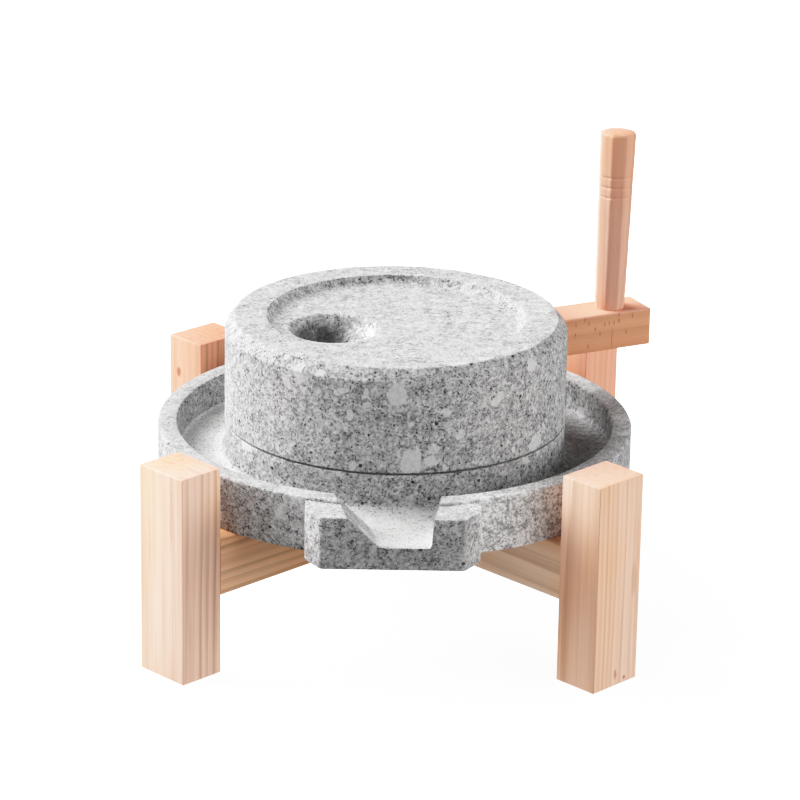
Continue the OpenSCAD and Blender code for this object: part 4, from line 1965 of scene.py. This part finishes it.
    def arm_marks(self) -> tuple[Mark, ...]:
        """Crack, painted highlight on the top and drying checks of the arm.

        Returns:
            The marks in the arm's own frame.
        """
        front = -self.width / 2
        upper = (self.bottom - self.top) / 2
        crack_run = self.handle_r - self.arm_middle().x - self.CRACK_INSET
        crack = Mark((self.CRACK_DROP, front, crack_run), self.CRACK_REACH, self.CHECK, self.CRACK_STRENGTH)
        # Painted highlight along the top of the arm
        top_highlight = Mark((upper, 0.0, 0.0), self.TOP_HIGHLIGHT_REACH, self.TOP_HIGHLIGHT, self.TOP_HIGHLIGHT_STRENGTH)
        checks = [
            Mark((drop, front, run), self.CHECK_REACH, self.CHECK, self.CHECK_STRENGTH)
            for run, drop in self.CHECKS
        ]
        return (crack, top_highlight, *checks)

    def build(self) -> None:
        """Makes the crank."""
        along_arm = (0.0, math.pi / 2, math.radians(self.angle))
        middle = tuple(around(self.angle) @ self.arm_middle())
        wood = SoftwoodFinish(
            "arm_wood", middle, along_arm, pith=(9 * MM, 60 * MM), pitch=5 * MM,
            early=self.ARM, late=self.LATE, strength=0.35, start=0.1, marks=self.arm_marks(),
        )
        settle(self.arm(), wood.material(), Body.RUNNER, ["crank_arm"])
        foot = tuple(self.handle_place().translation)
        along_handle = (0.0, math.radians(self.lean), math.radians(self.angle))
        wood = SoftwoodFinish(
            "handle_wood", foot, along_handle, pith=(5 * MM, 22 * MM), pitch=4 * MM,
            early=self.HANDLE, late=self.LATE, strength=0.3, start=0.2,
        )
        settle(self.handle(), wood.material(), Body.GRIP, ["crank_handle"], self.sharp)
        wood = SoftwoodFinish(
            "wedge_wood", middle, along_arm, pith=(40 * MM, 10 * MM), pitch=3 * MM,
            early=Stand.DOWEL_EARLY, late=Stand.DOWEL_LATE, strength=0.5, start=0.3,
        )
        dress("arm_wedge", wood.material())


class Spindle:
    """Steel pin and its two cups."""

    NODES = ("spindle_pin", "lower_cup", "runner_cup")

    def build(self) -> None:
        """Dresses the pin and the cups."""
        steel = SteelFinish("turned_steel").material()
        for node in self.NODES:
            dress(node, steel)


@dataclass(frozen=True)
class Softbox:
    """A soft light.

    Attributes:
        name: Its name.
        azimuth: Direction that it shines from, in degrees from +X towards +Y.
        elevation: Its height above the floor in degrees, below nought for light that comes from below.
        strength: Its strength.
        softness: Width of its source, in degrees.
    """

    name: str
    azimuth: float
    elevation: float
    strength: float
    softness: float


@dataclass
class Studio:
    """Floor, light and camera.

    Attributes:
        elevation: Elevation of the camera above what it looks at, in degrees.
        distance: Distance of the camera from what it looks at.
        target: Level on the mill's axis that the distance is measured to.
        aim_right: Turn of the view to the right, in degrees.
        aim_up: Turn of the view upwards, in degrees.
        roll: Turn of the view about its own line, in degrees.
        focal: Focal length on a sensor of 36 mm, in millimetres.
        floor_size: Side of the floor.
        floor_glow: Light that the floor gives off by itself.
        room: Light of the room from all sides.
        knee: Light that the picture shows at about two thirds of white.
        contrast: Steepness of the picture's dark tones.
        white: Light that the picture shows as white.
    """

    elevation: float = 19.24
    distance: float = 2.65536
    target: float = 0.18
    aim_right: float = 0.0831
    aim_up: float = -0.5
    roll: float = 0.97
    focal: float = 163.19
    floor_size: float = 80.0
    floor_glow: float = 1.2
    room: float = 0.16
    knee: float = 0.64
    contrast: float = 1.5
    white: float = 2.0

    # Width of the camera's sensor in millimetres, and the farthest that it sees in metres
    SENSOR = 36.0
    SIGHT = 100.0

    # Greys of the floor, waves of their pattern in a metre, its roughness and its relief
    FLOOR_GREYS = (grey(0.92), grey(0.94))
    FLOOR_WAVES = 3.0
    FLOOR_ROUGH = 0.9
    FLOOR_RELIEF = 0.01 * MM

    # Place of the curve that acts on all three colours
    ALL_COLOURS = 3
    # Lights at which the picture's response is drawn
    STEPS = (0.1, 0.2, 0.3, 0.45, 0.6, 0.8, 1.1, 1.5)

    LIGHTS = (
        Softbox("left_softbox", 172.0, 36.0, 0.97, 55.0),
        Softbox("left_low_softbox", 178.0, 15.0, 1.73, 40.0),
        Softbox("left_back_softbox", 150.0, 30.0, 3.53, 45.0),
        Softbox("left_high_softbox", 150.0, 50.0, 1.83, 45.0),
        Softbox("right_low_softbox", 0.0, 12.0, 1.25, 40.0),
        Softbox("right_front_softbox", -30.0, 20.0, 1.25, 40.0),
        Softbox("floor_bounce_left", 225.0, -20.0, 0.93, 80.0),
        Softbox("floor_bounce_right", 315.0, -20.0, 0.39, 80.0),
    )

    def camera(self) -> None:
        """Places the camera."""
        data = bpy.data.cameras.new("camera")
        data.sensor_width = self.SENSOR
        data.lens = self.focal
        data.clip_end = self.SIGHT
        camera = bpy.data.objects.new("camera", data)
        rise = math.radians(self.elevation)
        spot = Vector((0.0, -math.cos(rise), math.sin(rise))) * self.distance
        spot.z += self.target
        turn = Matrix.Rotation(-math.radians(self.aim_right), 4, "Z")
        turn @= Matrix.Rotation(math.pi / 2 - rise + math.radians(self.aim_up), 4, "X")
        turn @= Matrix.Rotation(math.radians(self.roll), 4, "Z")
        camera.matrix_world = Matrix.Translation(spot) @ turn
        bpy.context.scene.collection.objects.link(camera)
        bpy.context.scene.camera = camera

    def floor(self) -> None:
        """Lays the pale floor, which takes the mill's shadow but neither throws light back nor stops any."""
        sheet = Workpiece()
        bmesh.ops.create_grid(sheet.mesh, x_segments=2, y_segments=2, size=self.floor_size / 2)
        floor = sheet.piece("floor")
        paint = Shader("floor_paint")
        tone = paint.noise(paint.place(), self.FLOOR_WAVES)
        colour = paint.mix(tone, *self.FLOOR_GREYS)
        material = paint.finish(colour, self.FLOOR_ROUGH, tone, self.FLOOR_RELIEF, glow=self.floor_glow)
        floor.data.materials.append(material)
        floor.visible_diffuse = False
        floor.visible_glossy = False
        floor.visible_shadow = False

    def sun(self, light: Softbox) -> None:
        """Hangs one soft light.

        Args:
            light: The light.
        """
        data = bpy.data.lights.new(light.name, "SUN")
        data.energy = light.strength
        data.angle = math.radians(light.softness)
        lamp = bpy.data.objects.new(light.name, data)
        lamp.rotation_euler = Euler((0.0, math.radians(90.0 - light.elevation), math.radians(light.azimuth)))
        bpy.context.scene.collection.objects.link(lamp)

    def light(self) -> None:
        """Hangs the lights and sets the room's own light."""
        for light in self.LIGHTS:
            self.sun(light)
        world = bpy.data.worlds.new("room")
        world.use_nodes = True
        sky = world.node_tree.nodes["Background"]
        sky.inputs["Color"].default_value = (1.0, 1.0, 1.0, 1.0)
        sky.inputs["Strength"].default_value = self.room
        bpy.context.scene.world = world

    def picture(self) -> None:
        """Gives the picture the deep shades and soft highlights of a print."""
        view = bpy.context.scene.view_settings
        view.view_transform = "Standard"
        view.use_curve_mapping = True
        view.curve_mapping.white_level = (self.white, self.white, self.white)
        response = view.curve_mapping.curves[self.ALL_COLOURS]
        for light in self.STEPS:
            shown = 1.0 - math.exp(-(light / self.knee) ** self.contrast)
            response.points.new(light / self.white, shown)
        view.curve_mapping.update()

    def build(self) -> None:
        """Sets the studio up."""
        self.camera()
        self.floor()
        self.light()
        self.picture()


def main() -> None:
    """Builds the mill and its studio."""
    logging.basicConfig(level=logging.INFO, format="%(name)s: %(message)s")
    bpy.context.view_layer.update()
    Studio().build()
    Stand().build()
    crank = Crank()
    granite = GraniteFinish(
        "lower_granite", LowerStone.GRANITE_START, LowerStone.tray_r,
        patches=LowerStone.PATCHES, flour_and_light_level=LowerStone.FLOUR_AND_LIGHT_LEVEL,
    )
    LowerStone().build(granite)
    Spindle().build()
    granite = GraniteFinish(
        "runner_granite", RunnerStone.GRANITE_START, RunnerStone.outer_r,
        RunnerStone.CRYSTALS, RunnerStone.PATCHES, seam=RunnerStone.base,
    )
    RunnerStone().build(granite, crank)
    crank.build()


if __name__ == "__main__":
    main()
